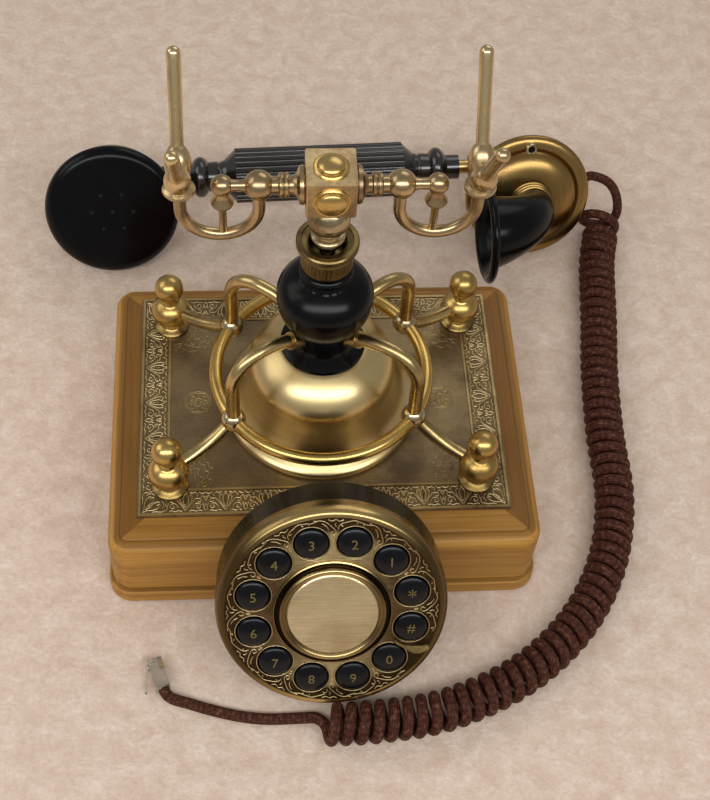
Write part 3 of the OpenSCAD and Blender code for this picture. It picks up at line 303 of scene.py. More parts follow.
class Tree:
    """A short hand for filling a node tree."""

    def __init__(self, tree):
        self.tree = tree

    def add(self, kind, settings=None, **props):
        made = self.tree.nodes.new(kind)
        for key, value in props.items():
            setattr(made, key, value)
        for key, value in (settings or {}).items():
            self.feed(made.inputs[key], value)
        return made

    def put(self, node, **values):
        """Feeds a node's inputs by name."""
        for label, value in values.items():
            self.feed(node.inputs[label.replace("_", " ")], value)

    def feed(self, socket, value):
        """Links an input to another node's socket, or gives it a plain value."""
        if isinstance(value, bpy.types.NodeSocket):
            self.tree.links.new(value, socket)
        else:
            socket.default_value = value

    def math(self, operation, a, b=0.0, clamp=False):
        return self.add("ShaderNodeMath", {0: a, 1: b}, operation=operation, use_clamp=clamp).outputs[0]

    def plus(self, a, b):
        return self.math("ADD", a, b)

    def minus(self, a, b):
        return self.math("SUBTRACT", a, b)

    def times(self, a, b, clamp=False):
        return self.math("MULTIPLY", a, b, clamp)

    def vector(self, operation, a, b):
        return self.add("ShaderNodeVectorMath", {0: a, 1: b}, operation=operation).outputs["Vector"]

    def mix(self, share, a, b):
        return self.add("ShaderNodeMix", {"Factor": share, 6: a, 7: b}, data_type="RGBA").outputs[2]

    def axes(self, where):
        return self.add("ShaderNodeSeparateXYZ", {0: where}).outputs

    def combined(self, x, y, z):
        return self.add("ShaderNodeCombineXYZ", {0: x, 1: y, 2: z}).outputs[0]

    def radius(self, x, y):
        return self.math("SQRT", self.plus(self.times(x, x), self.times(y, y)))

    def ramp(self, value, low, high, to_low=0.0, to_high=1.0):
        return self.add("ShaderNodeMapRange",
                        {0: value, 1: low, 2: high, 3: to_low, 4: to_high}).outputs[0]

    def band(self, value, low, high, soft):
        """1 between low and high, falling to 0 over the soft width."""
        return self.times(self.ramp(value, low - soft, low),
                         self.ramp(value, high, high + soft, 1.0, 0.0))

    def noise(self, where, scale, detail=3.0, rough=0.5, twist=0.0):
        return self.add("ShaderNodeTexNoise", {"Vector": where, "Scale": scale, "Detail": detail,
                                               "Roughness": rough, "Distortion": twist}).outputs["Fac"]


SOCKETS = {"v": "NodeSocketVector", "c": "NodeSocketColor", "f": "NodeSocketFloat", "o": "NodeSocketObject",
           "m": "NodeSocketMaterial", "g": "NodeSocketGeometry"}


def node_group(name, kind, inputs, outputs):
    """A new group, as (tree helper, its inputs by name, its output node)."""
    tree = bpy.data.node_groups.new(name, kind)
    for label, letter in inputs.items():
        tree.interface.new_socket(name=label, in_out="INPUT", socket_type=SOCKETS[letter])
    for label, letter in outputs.items():
        tree.interface.new_socket(name=label, in_out="OUTPUT", socket_type=SOCKETS[letter])
    helper = Tree(tree)
    return helper, helper.add("NodeGroupInput").outputs, helper.add("NodeGroupOutput")


# ---- Finishes ----

def build_aged_metal():
    """Clean metal with tarnish in blotches, fine rubbing marks along the piece and a soft height."""
    g, given, out = node_group("aged_metal", "ShaderNodeTree",
                               {"Where": "v", "Clean": "c", "Tarnish": "c", "Tarnish Amount": "f",
                                "Gloss": "f", "Grain": "f", "Grain Scale": "v"},
                               {"Color": "c", "Roughness": "f", "Height": "f"})
    blotch = g.noise(given["Where"], 42, 5, 0.62)
    cloud = g.noise(given["Where"], 11, 2, 0.5)
    speck = g.noise(given["Where"], 620, 3, 0.7)
    brush = g.noise(g.vector("MULTIPLY", given["Where"], given["Grain Scale"]), 1, 2, 0.6)
    stain = g.plus(g.ramp(blotch, 0.42, 0.66), g.ramp(cloud, 0.45, 0.75, 0.0, 0.5))
    stain = g.plus(stain, g.times(g.ramp(speck, 0.5, 0.8), 0.5))
    stain = g.times(stain, given["Tarnish Amount"], clamp=True)
    colour = g.mix(stain, given["Clean"], given["Tarnish"])
    rubbed = g.times(g.ramp(brush, 0.4, 0.72), given["Grain"])
    colour = g.mix(rubbed, colour, (0.03, 0.022, 0.012, 1))
    rough = g.plus(given["Gloss"], g.times(stain, 0.16))
    rough = g.plus(rough, g.times(rubbed, 0.5))
    height = g.plus(g.times(brush, given["Grain"]), g.times(speck, 0.1))
    g.put(out, Color=colour, Roughness=rough, Height=height)
    return g.tree


def build_dusting():
    """Faint dust and finger marks for glossy dark pieces."""
    g, given, out = node_group("dusting", "ShaderNodeTree",
                               {"Where": "v", "Base": "c", "Dust": "c", "Amount": "f", "Gloss": "f"},
                               {"Color": "c", "Roughness": "f", "Height": "f"})
    film = g.ramp(g.noise(given["Where"], 26, 4, 0.6), 0.42, 0.75)
    speck = g.ramp(g.noise(given["Where"], 900, 2, 0.7), 0.68, 0.78)
    share = g.plus(g.times(film, 0.18), speck)
    share = g.times(share, given["Amount"], clamp=True)
    rough = g.plus(given["Gloss"], g.times(film, 0.1))
    g.put(out, Color=g.mix(share, given["Base"], given["Dust"]), Roughness=rough, Height=speck)
    return g.tree


AGED_METAL = build_aged_metal()
DUSTING = build_dusting()
FINE = 0.00002  # the depth of rubbing marks and dust


def material(name):
    """A new material, as (material, tree helper, its shader, Object coordinates)."""
    made = bpy.data.materials.new(name)
    made.use_nodes = True
    made.node_tree.nodes.clear()
    t = Tree(made.node_tree)
    shader = t.add("ShaderNodeBsdfPrincipled")
    t.add("ShaderNodeOutputMaterial", {"Surface": shader.outputs[0]})
    return made, t, shader, t.add("ShaderNodeTexCoord").outputs["Object"]


def bump(t, shader, height, distance, strength=1.0):
    made = t.add("ShaderNodeBump", {"Height": height, "Distance": distance, "Strength": strength})
    t.put(shader, Normal=made.outputs[0])


def own_frame(t, where, place):
    """Object coordinates as seen in a piece's own frame, in metres."""
    back = place.inverted()
    return t.add("ShaderNodeMapping", {"Vector": where, "Location": back.translation * MM,
                                       "Rotation": back.to_euler()}).outputs[0]


def aged(t, shader, where, clean, tarnish, amount, gloss, grain, grain_scale, metallic=1.0):
    """Puts aged metal on the shader, and gives its colour and height."""
    made = t.add("ShaderNodeGroup", node_tree=AGED_METAL)
    t.put(made, Where=where, Clean=clean, Tarnish=tarnish, Tarnish_Amount=amount, Gloss=gloss,
          Grain=grain, Grain_Scale=grain_scale)
    t.put(shader, Base_Color=made.outputs["Color"], Roughness=made.outputs["Roughness"], Metallic=metallic)
    return made.outputs["Color"], made.outputs["Height"]


def metal(name, clean, tarnish, amount, gloss, grain, grain_scale=(900, 900, 5200), place=LEVEL,
          dark_foot=None):
    """Brass or steel. Given two heights above the table, it darkens towards the lower of them."""
    made, t, shader, where = material(name)
    colour, height = aged(t, shader, own_frame(t, where, place), srgb(*clean), srgb(*tarnish), amount,
                          gloss, grain, grain_scale)
    if dark_foot:
        foot_darkening = t.ramp(t.axes(where)["Z"], dark_foot[0] * MM, dark_foot[1] * MM, 0.75, 0.0)
        t.put(shader, Base_Color=t.mix(foot_darkening, colour, (0.02, 0.014, 0.007, 1)))
    bump(t, shader, height, FINE)
    return made


def lacquer(name, base, dust, amount, gloss, level=0.5):
    """Lacquer, plastic, felt or rubber. level is the strength of its reflection."""
    made, t, shader, where = material(name)
    film = t.add("ShaderNodeGroup", node_tree=DUSTING)
    t.put(film, Where=where, Base=srgb(*base), Dust=srgb(*dust), Amount=amount, Gloss=gloss)
    t.put(shader, Base_Color=film.outputs["Color"], Roughness=film.outputs["Roughness"],
          Specular_IOR_Level=level)
    bump(t, shader, film.outputs["Height"], FINE)
    return made


def oak():
    """Brown oak laid as four boards that meet in mitres."""
    made, t, shader, where = material("brown_oak")
    x, y, z = t.axes(where)
    from_side = t.minus(BASE_X * MM, t.math("ABSOLUTE", x))
    from_front = t.minus(BASE_Y * MM, t.math("ABSOLUTE", t.plus(y, -BASE_SHIFT * MM)))
    side_board = t.math("LESS_THAN", from_side, from_front)
    crosswise = t.combined(y, t.plus(x, 0.37), z)
    along = t.add("ShaderNodeMix", {"Factor": side_board, 4: where, 5: crosswise},
                  data_type="VECTOR").outputs[1]
    bend = t.noise(t.vector("MULTIPLY", along, (3.5, 22, 22)), 1, 3, 0.5)
    broad = t.noise(t.vector("MULTIPLY", along, (2.2, 90, 90)), 1, 4, 0.6, 1.2)
    grain = t.noise(t.vector("MULTIPLY", along, (14, 900, 900)), 1, 4, 0.7, 0.4)
    pores = t.noise(t.vector("MULTIPLY", along, (70, 3200, 3200)), 1, 2, 0.6)
    colour = t.mix(t.ramp(broad, 0.35, 0.7), srgb(196, 144, 66), srgb(162, 110, 42))
    colour = t.mix(t.times(t.ramp(grain, 0.45, 0.7), 0.5), colour, srgb(104, 64, 22))
    colour = t.mix(t.times(t.ramp(pores, 0.6, 0.72), 0.45), colour, srgb(76, 48, 20))
    colour = t.mix(t.times(t.ramp(bend, 0.4, 0.7), 0.25), colour, srgb(196, 148, 74))
    # The top is darker than the fronts, most on the side boards, with a dark line above the foot and a
    # fainter one round the plate
    top = t.ramp(z, 0.0462, 0.0482)
    colour = t.mix(t.times(top, t.ramp(side_board, 0, 1, 0.3, 0.72)), colour, srgb(86, 50, 6))
    groove = t.band(z, 0.0098, 0.0112, 0.0006)
    rim = t.times(t.band(z, 0.0470, 0.0486, 0.0003), 0.35)
    colour = t.mix(t.math("MAXIMUM", t.times(groove, 0.75), rim), colour, srgb(70, 42, 16))
    t.put(shader, Base_Color=colour, Roughness=t.ramp(grain, 0.3, 0.7, 0.4, 0.55), Specular_IOR_Level=0.3)
    relief = t.plus(t.times(grain, 0.5), t.times(pores, -0.6))
    bump(t, shader, relief, 0.0001, 0.6)
    return made


def plate_brass():
    """Old brass of the plate: bright where it stands proud, dark and stippled in the border's hollow."""
    made, t, shader, where = material("plate_brass")
    x, y, z = t.axes(where)
    inset = t.math("MINIMUM", t.minus(PLATE_X * MM, t.math("ABSOLUTE", x)),
                   t.minus(PLATE_Y * MM, t.math("ABSOLUTE", y)))
    hollow = t.band(inset, 0.0021, 0.0136, 0.0005)
    proud = t.ramp(z, 0.0501, 0.0504)
    clean = t.mix(hollow, srgb(152, 130, 94), srgb(146, 122, 84))
    clean = t.mix(proud, clean, srgb(196, 170, 116))
    tarnish = t.mix(hollow, srgb(106, 88, 68), srgb(84, 66, 46))
    tarnish = t.mix(proud, tarnish, srgb(140, 116, 70))
    colour, height = aged(t, shader, where, clean, tarnish, 0.75, 0.36, 0.2, (60, 2400, 60), 0.9)
    stipple = t.times(t.noise(where, 1500, 2, 0.6), hollow)
    bump(t, shader, t.plus(height, stipple), 0.00014)
    return made


def dial_face_brass():
    """The dial's face: brushed across, darkest outside the keys where the scrolls stand, with a painted
    highlight down its middle and painted shade to its left and right.
    """
    made, t, shader, where = material("dial_face_brass")
    own = own_frame(t, where, DIAL)
    x, y, z = t.axes(own)
    hollow = t.ramp(t.radius(x, y), 0.0395, 0.0425)
    # Painted highlight down the middle and painted shade to the left and right, as the brushed face's sheen
    # would fall
    side_shade = t.times(t.ramp(t.math("ABSOLUTE", x), 0.008, 0.026), 0.9)
    proud = t.ramp(z, 0.0003, 0.0008)
    clean = t.mix(side_shade, srgb(212, 192, 146), srgb(96, 70, 40))
    clean = t.mix(hollow, clean, srgb(70, 52, 32))
    clean = t.mix(proud, clean, srgb(206, 182, 122))
    tarnish = t.mix(side_shade, srgb(150, 126, 84), srgb(54, 38, 22))
    tarnish = t.mix(hollow, tarnish, srgb(36, 26, 16))
    colour, height = aged(t, shader, own, clean, tarnish, 0.6, 0.3, 0.35, (50, 3800, 50))
    bump(t, shader, height, 0.0006)
    return made


def turned_brass(name, clean, tarnish, amount, gloss, place, rings, sides=0.0, groove=None):
    """Brass with the fine rings of a lathe about its own z axis. sides is how strongly painted shade
    darkens it to its left and right, and groove is the radii of a near-black band."""
    made, t, shader, where = material(name)
    own = own_frame(t, where, place)
    x, y, z = t.axes(own)
    out = t.radius(x, y)
    lathe = t.combined(out, z, t.times(t.math("ARCTAN2", y, x), 0.0004))
    along = t.vector("ADD", lathe, t.vector("MULTIPLY", own, (0.04, 0.04, 0.04)))
    colour, height = aged(t, shader, along, srgb(*clean), srgb(*tarnish), amount, gloss, rings,
                          (4200, 4200, 4200))
    # Painted shade, darker to the left and right of the lathe's axis
    if sides:
        side_shade = t.math("DIVIDE", t.math("ABSOLUTE", x), out)
        colour = t.mix(t.ramp(side_shade, 0.25, 0.8, 0.0, sides), colour, srgb(58, 40, 16))
    if groove:
        colour = t.mix(t.band(out, groove[0] * MM, groove[1] * MM, 0.0002), colour, srgb(34, 26, 18))
    t.put(shader, Base_Color=colour)
    bump(t, shader, height, 0.00003)
    return made


WEAVE = 0.0052  # one repeat of the braid along the cord, in metres
STRANDS = 7


def braid():
    """Cotton braid, woven along the piece's own UV map: u runs along the cord in metres, v round it."""
    made, t, shader, where = material("brown_braid")
    uv = t.add("ShaderNodeUVMap", uv_map="along").outputs[0]
    u, v = t.axes(uv)[:2]
    run = t.times(u, 2 * math.pi / WEAVE)
    about = t.times(v, 2 * math.pi * STRANDS)
    left = t.math("SINE", t.plus(run, about))
    right = t.math("SINE", t.minus(run, about))
    over = t.times(left, right)
    strands = t.math("ABSOLUTE", over)
    fibre = t.noise(t.vector("MULTIPLY", uv, (1400, 260, 1)), 1, 3, 0.7)
    fleck = t.noise(t.vector("MULTIPLY", uv, (420, 9, 1)), 1, 3, 0.7)
    colour = t.mix(t.ramp(over, -0.5, 0.5), srgb(88, 42, 27), srgb(58, 26, 16))
    colour = t.mix(t.times(t.ramp(fleck, 0.52, 0.66), 0.65), colour, srgb(146, 98, 76))
    colour = t.mix(t.times(t.ramp(fibre, 0.55, 0.75), 0.3), colour, srgb(92, 48, 36))
    # Painted shade in the gaps between the strands
    colour = t.mix(t.ramp(strands, 0.0, 0.3, 0.7, 0.0), colour, srgb(20, 8, 5))
    t.put(shader, Base_Color=colour, Roughness=t.ramp(fibre, 0.2, 0.8, 0.5, 0.7), Specular_IOR_Level=0.2)
    bump(t, shader, t.plus(strands, t.times(fibre, 0.3)), 0.0003, 0.8)
    return made


def clear_plastic():
    made, t, shader, where = material("clear_plastic")
    haze = t.ramp(t.noise(where, 300, 2), 0.3, 0.7, 0.06, 0.16)
    t.put(shader, Base_Color=srgb(236, 232, 222), Roughness=haze, IOR=1.49, Transmission_Weight=0.88)
    return made


BRASS = metal("amber_brass", (212, 178, 108), (136, 104, 52), 0.55, 0.24, 0.04, dark_foot=(51.4, 55))
ROD_BRASS = metal("rod_brass", (217, 186, 122), (150, 114, 64), 0.4, 0.22, 0.12)
DOME_BRASS = turned_brass("dome_brass", (226, 202, 146), (160, 130, 78), 0.4, 0.3, ABOVE, 0.05)
CAGE_BRASS = metal("cage_brass", (222, 186, 108), (128, 96, 44), 0.5, 0.22, 0.03)
BRACKET_BRASS = metal("bracket_brass", (206, 180, 124), (112, 92, 54), 0.65, 0.24, 0.03)
CRADLE_BRASS = metal("cradle_brass", (204, 180, 134), (140, 112, 86), 0.7, 0.2, 0.02)
PRONG_BRASS = metal("prong_brass", (232, 208, 158), (164, 136, 100), 0.6, 0.2, 0.02)
JOINT_BRASS = metal("joint_brass", (212, 196, 158), (116, 96, 64), 0.8, 0.16, 0.02)
CAP_BRASS = metal("cap_brass", (218, 186, 118), (150, 116, 62), 0.4, 0.24, 0.02)
# The bezel and the hub ring carry painted shade at their left and right
BEZEL_BRASS = turned_brass("bezel_brass", (214, 184, 122), (120, 90, 46), 0.6, 0.22, DIAL, 0.06, 0.85)
HUB_BRASS = turned_brass("hub_brass", (206, 178, 124), (112, 84, 46), 0.6, 0.22, DIAL, 0.06, 0.7,
                         (24.6, 26.3))
FACE_BRASS = dial_face_brass()
SCROLL_BRASS = metal("scroll_brass", (222, 202, 152), (160, 134, 84), 0.5, 0.24, 0.05)
PLATE_BRASS = plate_brass()
RELIEF_BRASS = metal("relief_brass", (232, 212, 164), (176, 150, 104), 0.6, 0.3, 0.02)
WORN_RELIEF = metal("worn_relief", (190, 168, 118), (112, 92, 60), 0.8, 0.34, 0.02)
OLIVE_BRASS = turned_brass("olive_brass", (164, 132, 78), (72, 52, 26), 0.65, 0.24, TRANSMITTER, 0.05)
COLLAR_BRASS = metal("collar_brass", (138, 118, 76), (60, 50, 32), 0.7, 0.26, 0.05)
DISC_BRASS = metal("disc_brass", (244, 228, 184), (200, 176, 128), 0.6, 0.28, 0.4, (40, 3200, 40), DIAL)
STEEL = metal("plated_steel", (190, 190, 192), (110, 106, 100), 0.3, 0.22, 0.06)
CONTACT = metal("contact_gold", (222, 178, 82), (160, 118, 50), 0.3, 0.2, 0.04)
DRUM = lacquer("drum_lacquer", (24, 19, 8), (130, 120, 90), 0.05, 0.24, level=0.3)
BLACK = lacquer("black_lacquer", (4, 4, 6), (96, 94, 92), 0.05, 0.2, level=0.2)
GRIP_BLACK = lacquer("grip_lacquer", (26, 22, 17), (96, 94, 92), 0.05, 0.16, level=1.0)
KEY_BLACK = lacquer("key_black", (4, 5, 10), (90, 88, 92), 0.03, 0.2, level=0.3)
KEY_INK = lacquer("key_ink", (112, 98, 52), (56, 48, 30), 0.9, 0.5, level=0.2)
DARK_PLASTIC = lacquer("dark_plastic", (34, 33, 34), (110, 108, 104), 0.3, 0.36)
FELT = lacquer("green_felt", (36, 66, 46), (120, 130, 110), 0.5, 0.9, level=0.2)
BOARD = lacquer("board_green", (38, 92, 52), (150, 150, 120), 0.3, 0.4)
FIBRE = lacquer("pressed_fibre", (104, 78, 48), (60, 44, 26), 0.8, 0.7, level=0.3)
RUBBER = lacquer("grey_rubber", (128, 127, 122), (90, 88, 84), 0.5, 0.6, level=0.3)
OAK = oak()
BRAID = braid()
CLEAR = clear_plastic()

cord.data.materials.append(BRAID)


# ---- The frame's own pieces ----

KEY_NODES = [name for name in frame["nodes"] if name.startswith("key_") and name != "key_mat"]
for finish, *names in (
        (OAK, "wood_base"), (FIBRE, "bottom_cover"), (FELT, "base_pad"), (PLATE_BRASS, "base_plate"),
        (BOARD, "circuit_board", "keypad_board"), (BRASS, "corner_posts"), (DOME_BRASS, "dome"),
        (STEEL, "cover_screws", "tie_tube", "plunger_rod", "plunger_spring"),
        (DARK_PLASTIC, "ringer", "hook_switch", "line_jack", "handset_jack", "receiver_capsule",
         "mic_capsule", "cord_gland"), (COLLAR_BRASS, "column_collar"), (CAGE_BRASS, "cage_ring"),
        (BRACKET_BRASS, "cage_brackets", "cage_struts"), (DRUM, "dial_mount", "dial_housing"),
        (BEZEL_BRASS, "dial_rim"), (FACE_BRASS, "dial_face"), (HUB_BRASS, "dial_hub_ring"),
        (DISC_BRASS, "dial_centre_disc"), (RUBBER, "key_mat"), (JOINT_BRASS, "cradle_stem"),
        (CRADLE_BRASS, "cradle_block", "cradle_arms", "cradle_u_tubes"), (CAP_BRASS, "block_caps"),
        (PRONG_BRASS, "cradle_forks"), (BLACK, "column", "receiver_cap", "receiver_shell", "horn"),
        (GRIP_BLACK, "handset_grip"), (ROD_BRASS, "handset_rod"),
        (OLIVE_BRASS, "transmitter_shell", "transmitter_front"), (CLEAR, "plug"),
        (BRAID, "cord_lead", "cord_coil", "cord_tail"), (KEY_BLACK, *KEY_NODES)):
    for name in names:
        materials = frame["nodes"][name].data.materials
        materials.clear()
        materials.append(finish)

# The turned pieces, each copied with its triangles joined, so that its profile shades as one curve
TURNED = ("dome", "column", "column_collar", "corner_posts", "dial_housing", "dial_rim", "dial_hub_ring",
          "dial_centre_disc", "cradle_stem", "block_caps", "cradle_arms", "cradle_u_tubes", "cradle_forks",
          "receiver_cap", "receiver_shell", "handset_grip", "transmitter_shell", "transmitter_front")


def joined(points, faces):
    """The same surface with the points that lie within a ten-thousandth of a millimetre made one."""
    kept, which = np.unique(np.asarray(points).round(4), axis=0, return_inverse=True)
    which = which.ravel()
    whole = [list(dict.fromkeys(which[list(face)].tolist())) for face in faces]
    return kept, [face for face in whole if len(face) > 2]


def points_of(mesh):
    points = np.zeros(len(mesh.vertices) * 3)
    mesh.vertices.foreach_get("co", points)
    return points.reshape(-1, 3)


def joined_copy(name, rigid=True):
    """A node's joined copy in its place, on its body, or on none if it isn't rigid."""
    cad = frame["nodes"][name]
    kept, faces = joined(points_of(cad.data) / MM, [face.vertices for face in cad.data.polygons])
    body = cad["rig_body"] if rigid else None
    smooth = piece(name + "_skin", kept, faces, body, sharp=32)
    smooth.data.materials.append(cad.data.materials[0])
    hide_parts(name)
    return smooth


for copied in (*TURNED, *KEY_NODES):
    joined_copy(copied)
# The spring's copy rides on no body, with its place fixed in its mesh
spring = joined_copy("plunger_spring", rigid=False)
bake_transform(spring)


# ---- Ornament: lines raised on a surface, set out by Geometry Nodes ----

def copies(g, places, what):
    """An object's geometry at each place, turned and stretched as the place says, and realized."""
    shape = g.add("GeometryNodeObjectInfo", {"Object": what}).outputs["Geometry"]
    turn = g.add("GeometryNodeInputNamedAttribute", {"Name": "turn"}, data_type="FLOAT").outputs[0]
    stretch = g.add("GeometryNodeInputNamedAttribute", {"Name": "stretch"},
                    data_type="FLOAT_VECTOR").outputs[0]
    spread = g.add("GeometryNodeInstanceOnPoints", {
        "Points": places, "Instance": shape, "Scale": stretch, "Rotation": g.combined(0, 0, turn)})
    return g.add("GeometryNodeRealizeInstances", {0: spread.outputs[0]}).outputs[0]


def build_raised_lines():
    """Sets a pattern of flat curves out on the places, and gives every line a rounded, closed body."""
    g, given, out = node_group(
        "raised_lines", "GeometryNodeTree",
        {"Places": "g", "Pattern": "o", "Line Width": "f", "Line Height": "f", "Finish": "m"},
        {"Geometry": "g"})
    lines = copies(g, given["Places"], given["Pattern"])
    lines = g.add("GeometryNodeCurveSplineType", {0: lines}, spline_type="CATMULL_ROM").outputs[0]
    lines = g.add("GeometryNodeSetSplineResolution", {0: lines, "Resolution": 3}).outputs[0]
    lines = g.add("GeometryNodeSetCurveNormal", {0: lines}, mode="Z_UP").outputs[0]
    ring = g.add("GeometryNodeCurvePrimitiveCircle", {"Resolution": 6, "Radius": 1.0}).outputs[0]
    size = g.combined(g.times(given["Line Width"], 0.5), given["Line Height"], 1.0)
    ring = g.add("GeometryNodeTransform", {0: ring, "Scale": size}).outputs[0]
    body = g.add("GeometryNodeCurveToMesh", {0: lines, 1: ring, "Fill Caps": True}).outputs[0]
    body = g.add("GeometryNodeSetShadeSmooth", {0: body}).outputs[0]
    body = g.add("GeometryNodeSetMaterial", {0: body, "Material": given["Finish"]}).outputs[0]
    g.put(out, Geometry=body)
    return g.tree


def build_set_out():
    """Sets a small solid out on the places."""
    g, given, out = node_group("set_out", "GeometryNodeTree",
                               {"Places": "g", "Solid": "o", "Finish": "m"}, {"Geometry": "g"})
    solids = copies(g, given["Places"], given["Solid"])
    solids = g.add("GeometryNodeSetMaterial", {0: solids, "Material": given["Finish"]}).outputs[0]
    g.put(out, Geometry=solids)
    return g.tree


RAISED_LINES = build_raised_lines()
SET_OUT = build_set_out()


def places_mesh(places):
    """Points as (x, y, z, turn in degrees, stretch along x), of which the stretch may be left out."""
    mesh = bpy.data.meshes.new("places")
    mesh.from_pydata([p[:3] for p in places], [], [])
    turns = [math.radians(p[3]) for p in places]
    mesh.attributes.new("turn", "FLOAT", "POINT").data.foreach_set("value", turns)
    stretch = [value for p in places for value in (p[4] if len(p) > 4 else 1.0, 1.0, 1.0)]
    mesh.attributes.new("stretch", "FLOAT_VECTOR", "POINT").data.foreach_set("vector", stretch)
    return mesh


def plain_mesh(host):
    """What a helper object evaluates to, as a mesh. The helper is removed."""
    mesh = bpy.data.meshes.new_from_object(host.evaluated_get(bpy.context.evaluated_depsgraph_get()))
    bpy.data.objects.remove(host)
    return mesh


def grow(name, tree, places, body, slot, place=LEVEL, **values):
    """Runs a tree on its places, and leaves the result as a plain mesh that rides on a body."""
    host = linked(name + "_host", places_mesh(places))
    modifier = host.modifiers.new(name, "NODES")
    modifier.node_group = tree
    for item in tree.interface.items_tree:
        label = item.name.replace(" ", "_").lower()
        if item.in_out == "INPUT" and label in values:
            modifier[item.identifier] = values[label]
    mesh = plain_mesh(host)
    mesh.name = name
    for label in ("turn", "stretch"):
        if label in mesh.attributes:
            mesh.attributes.remove(mesh.attributes[label])
    mesh.transform(Matrix.Scale(MM, 4) @ place)
    return settle(name, mesh, body)


def raise_lines(name, strokes, places, width, height, slot, place, finish):
    """Sets flat curves, thinner at their ends, out on the places as raised lines on the base."""
    data = bpy.data.curves.new(name + "_lines", "CURVE")
    data.dimensions = "3D"
    for stroke in strokes:
        spline = data.splines.new("POLY")
        spline.points.add(len(stroke) - 1)
        for point, (x, y) in zip(spline.points, stroke):
            point.co = (x, y, 0, 1)
            point.radius = 1.0
        spline.points[0].radius = spline.points[-1].radius = 0.5
    pattern = linked(name + "_lines", data)
    grow(name, RAISED_LINES, places, "base", slot, place, pattern=pattern, line_width=width,
         line_height=height, finish=finish)
    bpy.data.objects.remove(pattern)


def mirrored(strokes):
    return strokes + [[(-x, y) for x, y in stroke] for stroke in strokes]


def polar(strokes):
    """Strokes given as (degrees from straight up, radius)."""
    return [[(r * math.sin(math.radians(a)), r * math.cos(math.radians(a))) for a, r in stroke]
            for stroke in strokes]


# Half of one repeat of the border, 19.1 mm long: y runs from the outer edge (-6) to the inner (6)
PALMETTE = mirrored([
    [(0, -4.9), (1.5, -2.75), (3, -0.6), (4.5, 1.5), (4.9, 1.75), (5.8, 1.75), (7, 1.7)],
    [(7, 1.7), (7.4, 2.6), (8.1, 3.1), (8.8, 2.7), (8.6, 1.9)],
    [(7, 1.6), (7.5, 0.7), (7.1, -0.1), (6.3, -0.2), (6, 0.5)],
    [(9.55, 2.9), (8.95, 1.7), (9.55, 0.4)],
    [(0, -3.4), (0.8, -1.4), (1.35, 0.8), (1.1, 2.8), (0, 4.9)],
    [(0.7, -2.9), (2.2, -0.8), (3, 1.6), (2.8, 3.4), (2, 3.9), (1.7, 2.9)],
    [(1.9, 5.3), (3.2, 4.7), (4.3, 5.2), (5.3, 4.5), (5.9, 3.6), (5.3, 3)],
    [(6.3, 5.3), (7.5, 4.5), (8.6, 4.5), (9.55, 5.3)],
    [(3.5, -3.2), (4.4, -1.4), (5.9, -0.9), (7.2, -1.7), (7.1, -3.1), (5.9, -3.6), (5.2, -2.8),
     (5.9, -2.2)],
    [(8.3, -0.6), (8.4, -1.9), (9.2, -2.5)], [(9.55, -1.1), (8.7, -2.9), (8.9, -4.2), (9.55, -5.1)],
    [(1.7, -5.3), (3.2, -4.7), (5, -5.3), (6.7, -4.7), (7.9, -5.2)],
    [(0, 5.5), (0.8, 5)], [(0, -1.4), (0, 1.4)]])

# A corner of the border, from the plate's corner inwards along its two edges
CORNER_HALF = [
    [(0.7, 0.7), (3, 1.6), (5.6, 1.7), (8, 2.7), (9.4, 4.6)],
    [(5.2, 0.6), (7.4, 0.9), (9.4, 0.6), (11.4, 1.5)],
    [(2, 2), (4.4, 3.4), (6, 5.4), (7.6, 6.2), (8.8, 6), (8.6, 4.9), (7.5, 4.4)],
    [(10, 2.6), (10.9, 3.8), (10.8, 5.4), (9.8, 6.6)],
    [(3.4, 3.8), (5.2, 5.2), (6.4, 6.4)]]
CORNER = CORNER_HALF + [[(y, x) for x, y in stroke] for stroke in CORNER_HALF]

# A spray in the field, round the foot of a post: straight up points to the plate's middle
SPRAY = mirrored(polar([
    [(0, 12), (9, 13.2), (20, 12.4), (31, 13.4), (42, 12.6), (52, 13.2)],
    [(0, 16.6), (6, 15), (13, 14.6), (18, 15.8), (15, 17), (11, 16.4)],
    [(18, 17.8), (24, 16), (32, 15.4), (37, 16.6), (33, 17.8), (29, 17)],
    [(0, 20.4), (5, 18.8), (9, 18.8), (11, 20)],
    [(12, 20.6), (16, 19.2), (21, 18.6), (25, 19.4), (23, 20.6), (19, 20.2)],
    [(0, 22.6), (3, 21.4), (7, 21.6), (9, 22.8)],
    [(26, 20.8), (30, 19.4), (34, 19.6)], [(2, 14), (5, 13.6), (8, 14)],
    [(22, 14.2), (26, 14.6), (30, 14.2)], [(36, 14.2), (40, 13.6), (44, 14)],
    [(38, 18.6), (42, 18), (44, 19)],
    [(40, 15.4), (46, 14.8), (50, 16), (47, 17.2)]]))


def at_turn(r, angle):
    return r * math.cos(angle), r * math.sin(angle)


def circle(r, steps):
    return [at_turn(r, 2 * math.pi * k / steps) for k in range(steps + 1)]


def petals(count, low, high, half):
    """A ring of pointed petals."""
    outline = ((-half, low), (-half * 0.8, (low + high) / 2), (0, high), (half * 0.8, (low + high) / 2),
               (half, low))
    return [[at_turn(r, 2 * math.pi * k / count + a) for a, r in outline] for k in range(count)]


ROSETTE = [circle(6.5, 32), circle(5.6, 28), circle(2.5, 16), *petals(8, 3, 5, 0.3),
           *petals(6, 1, 2.1, 0.4)]

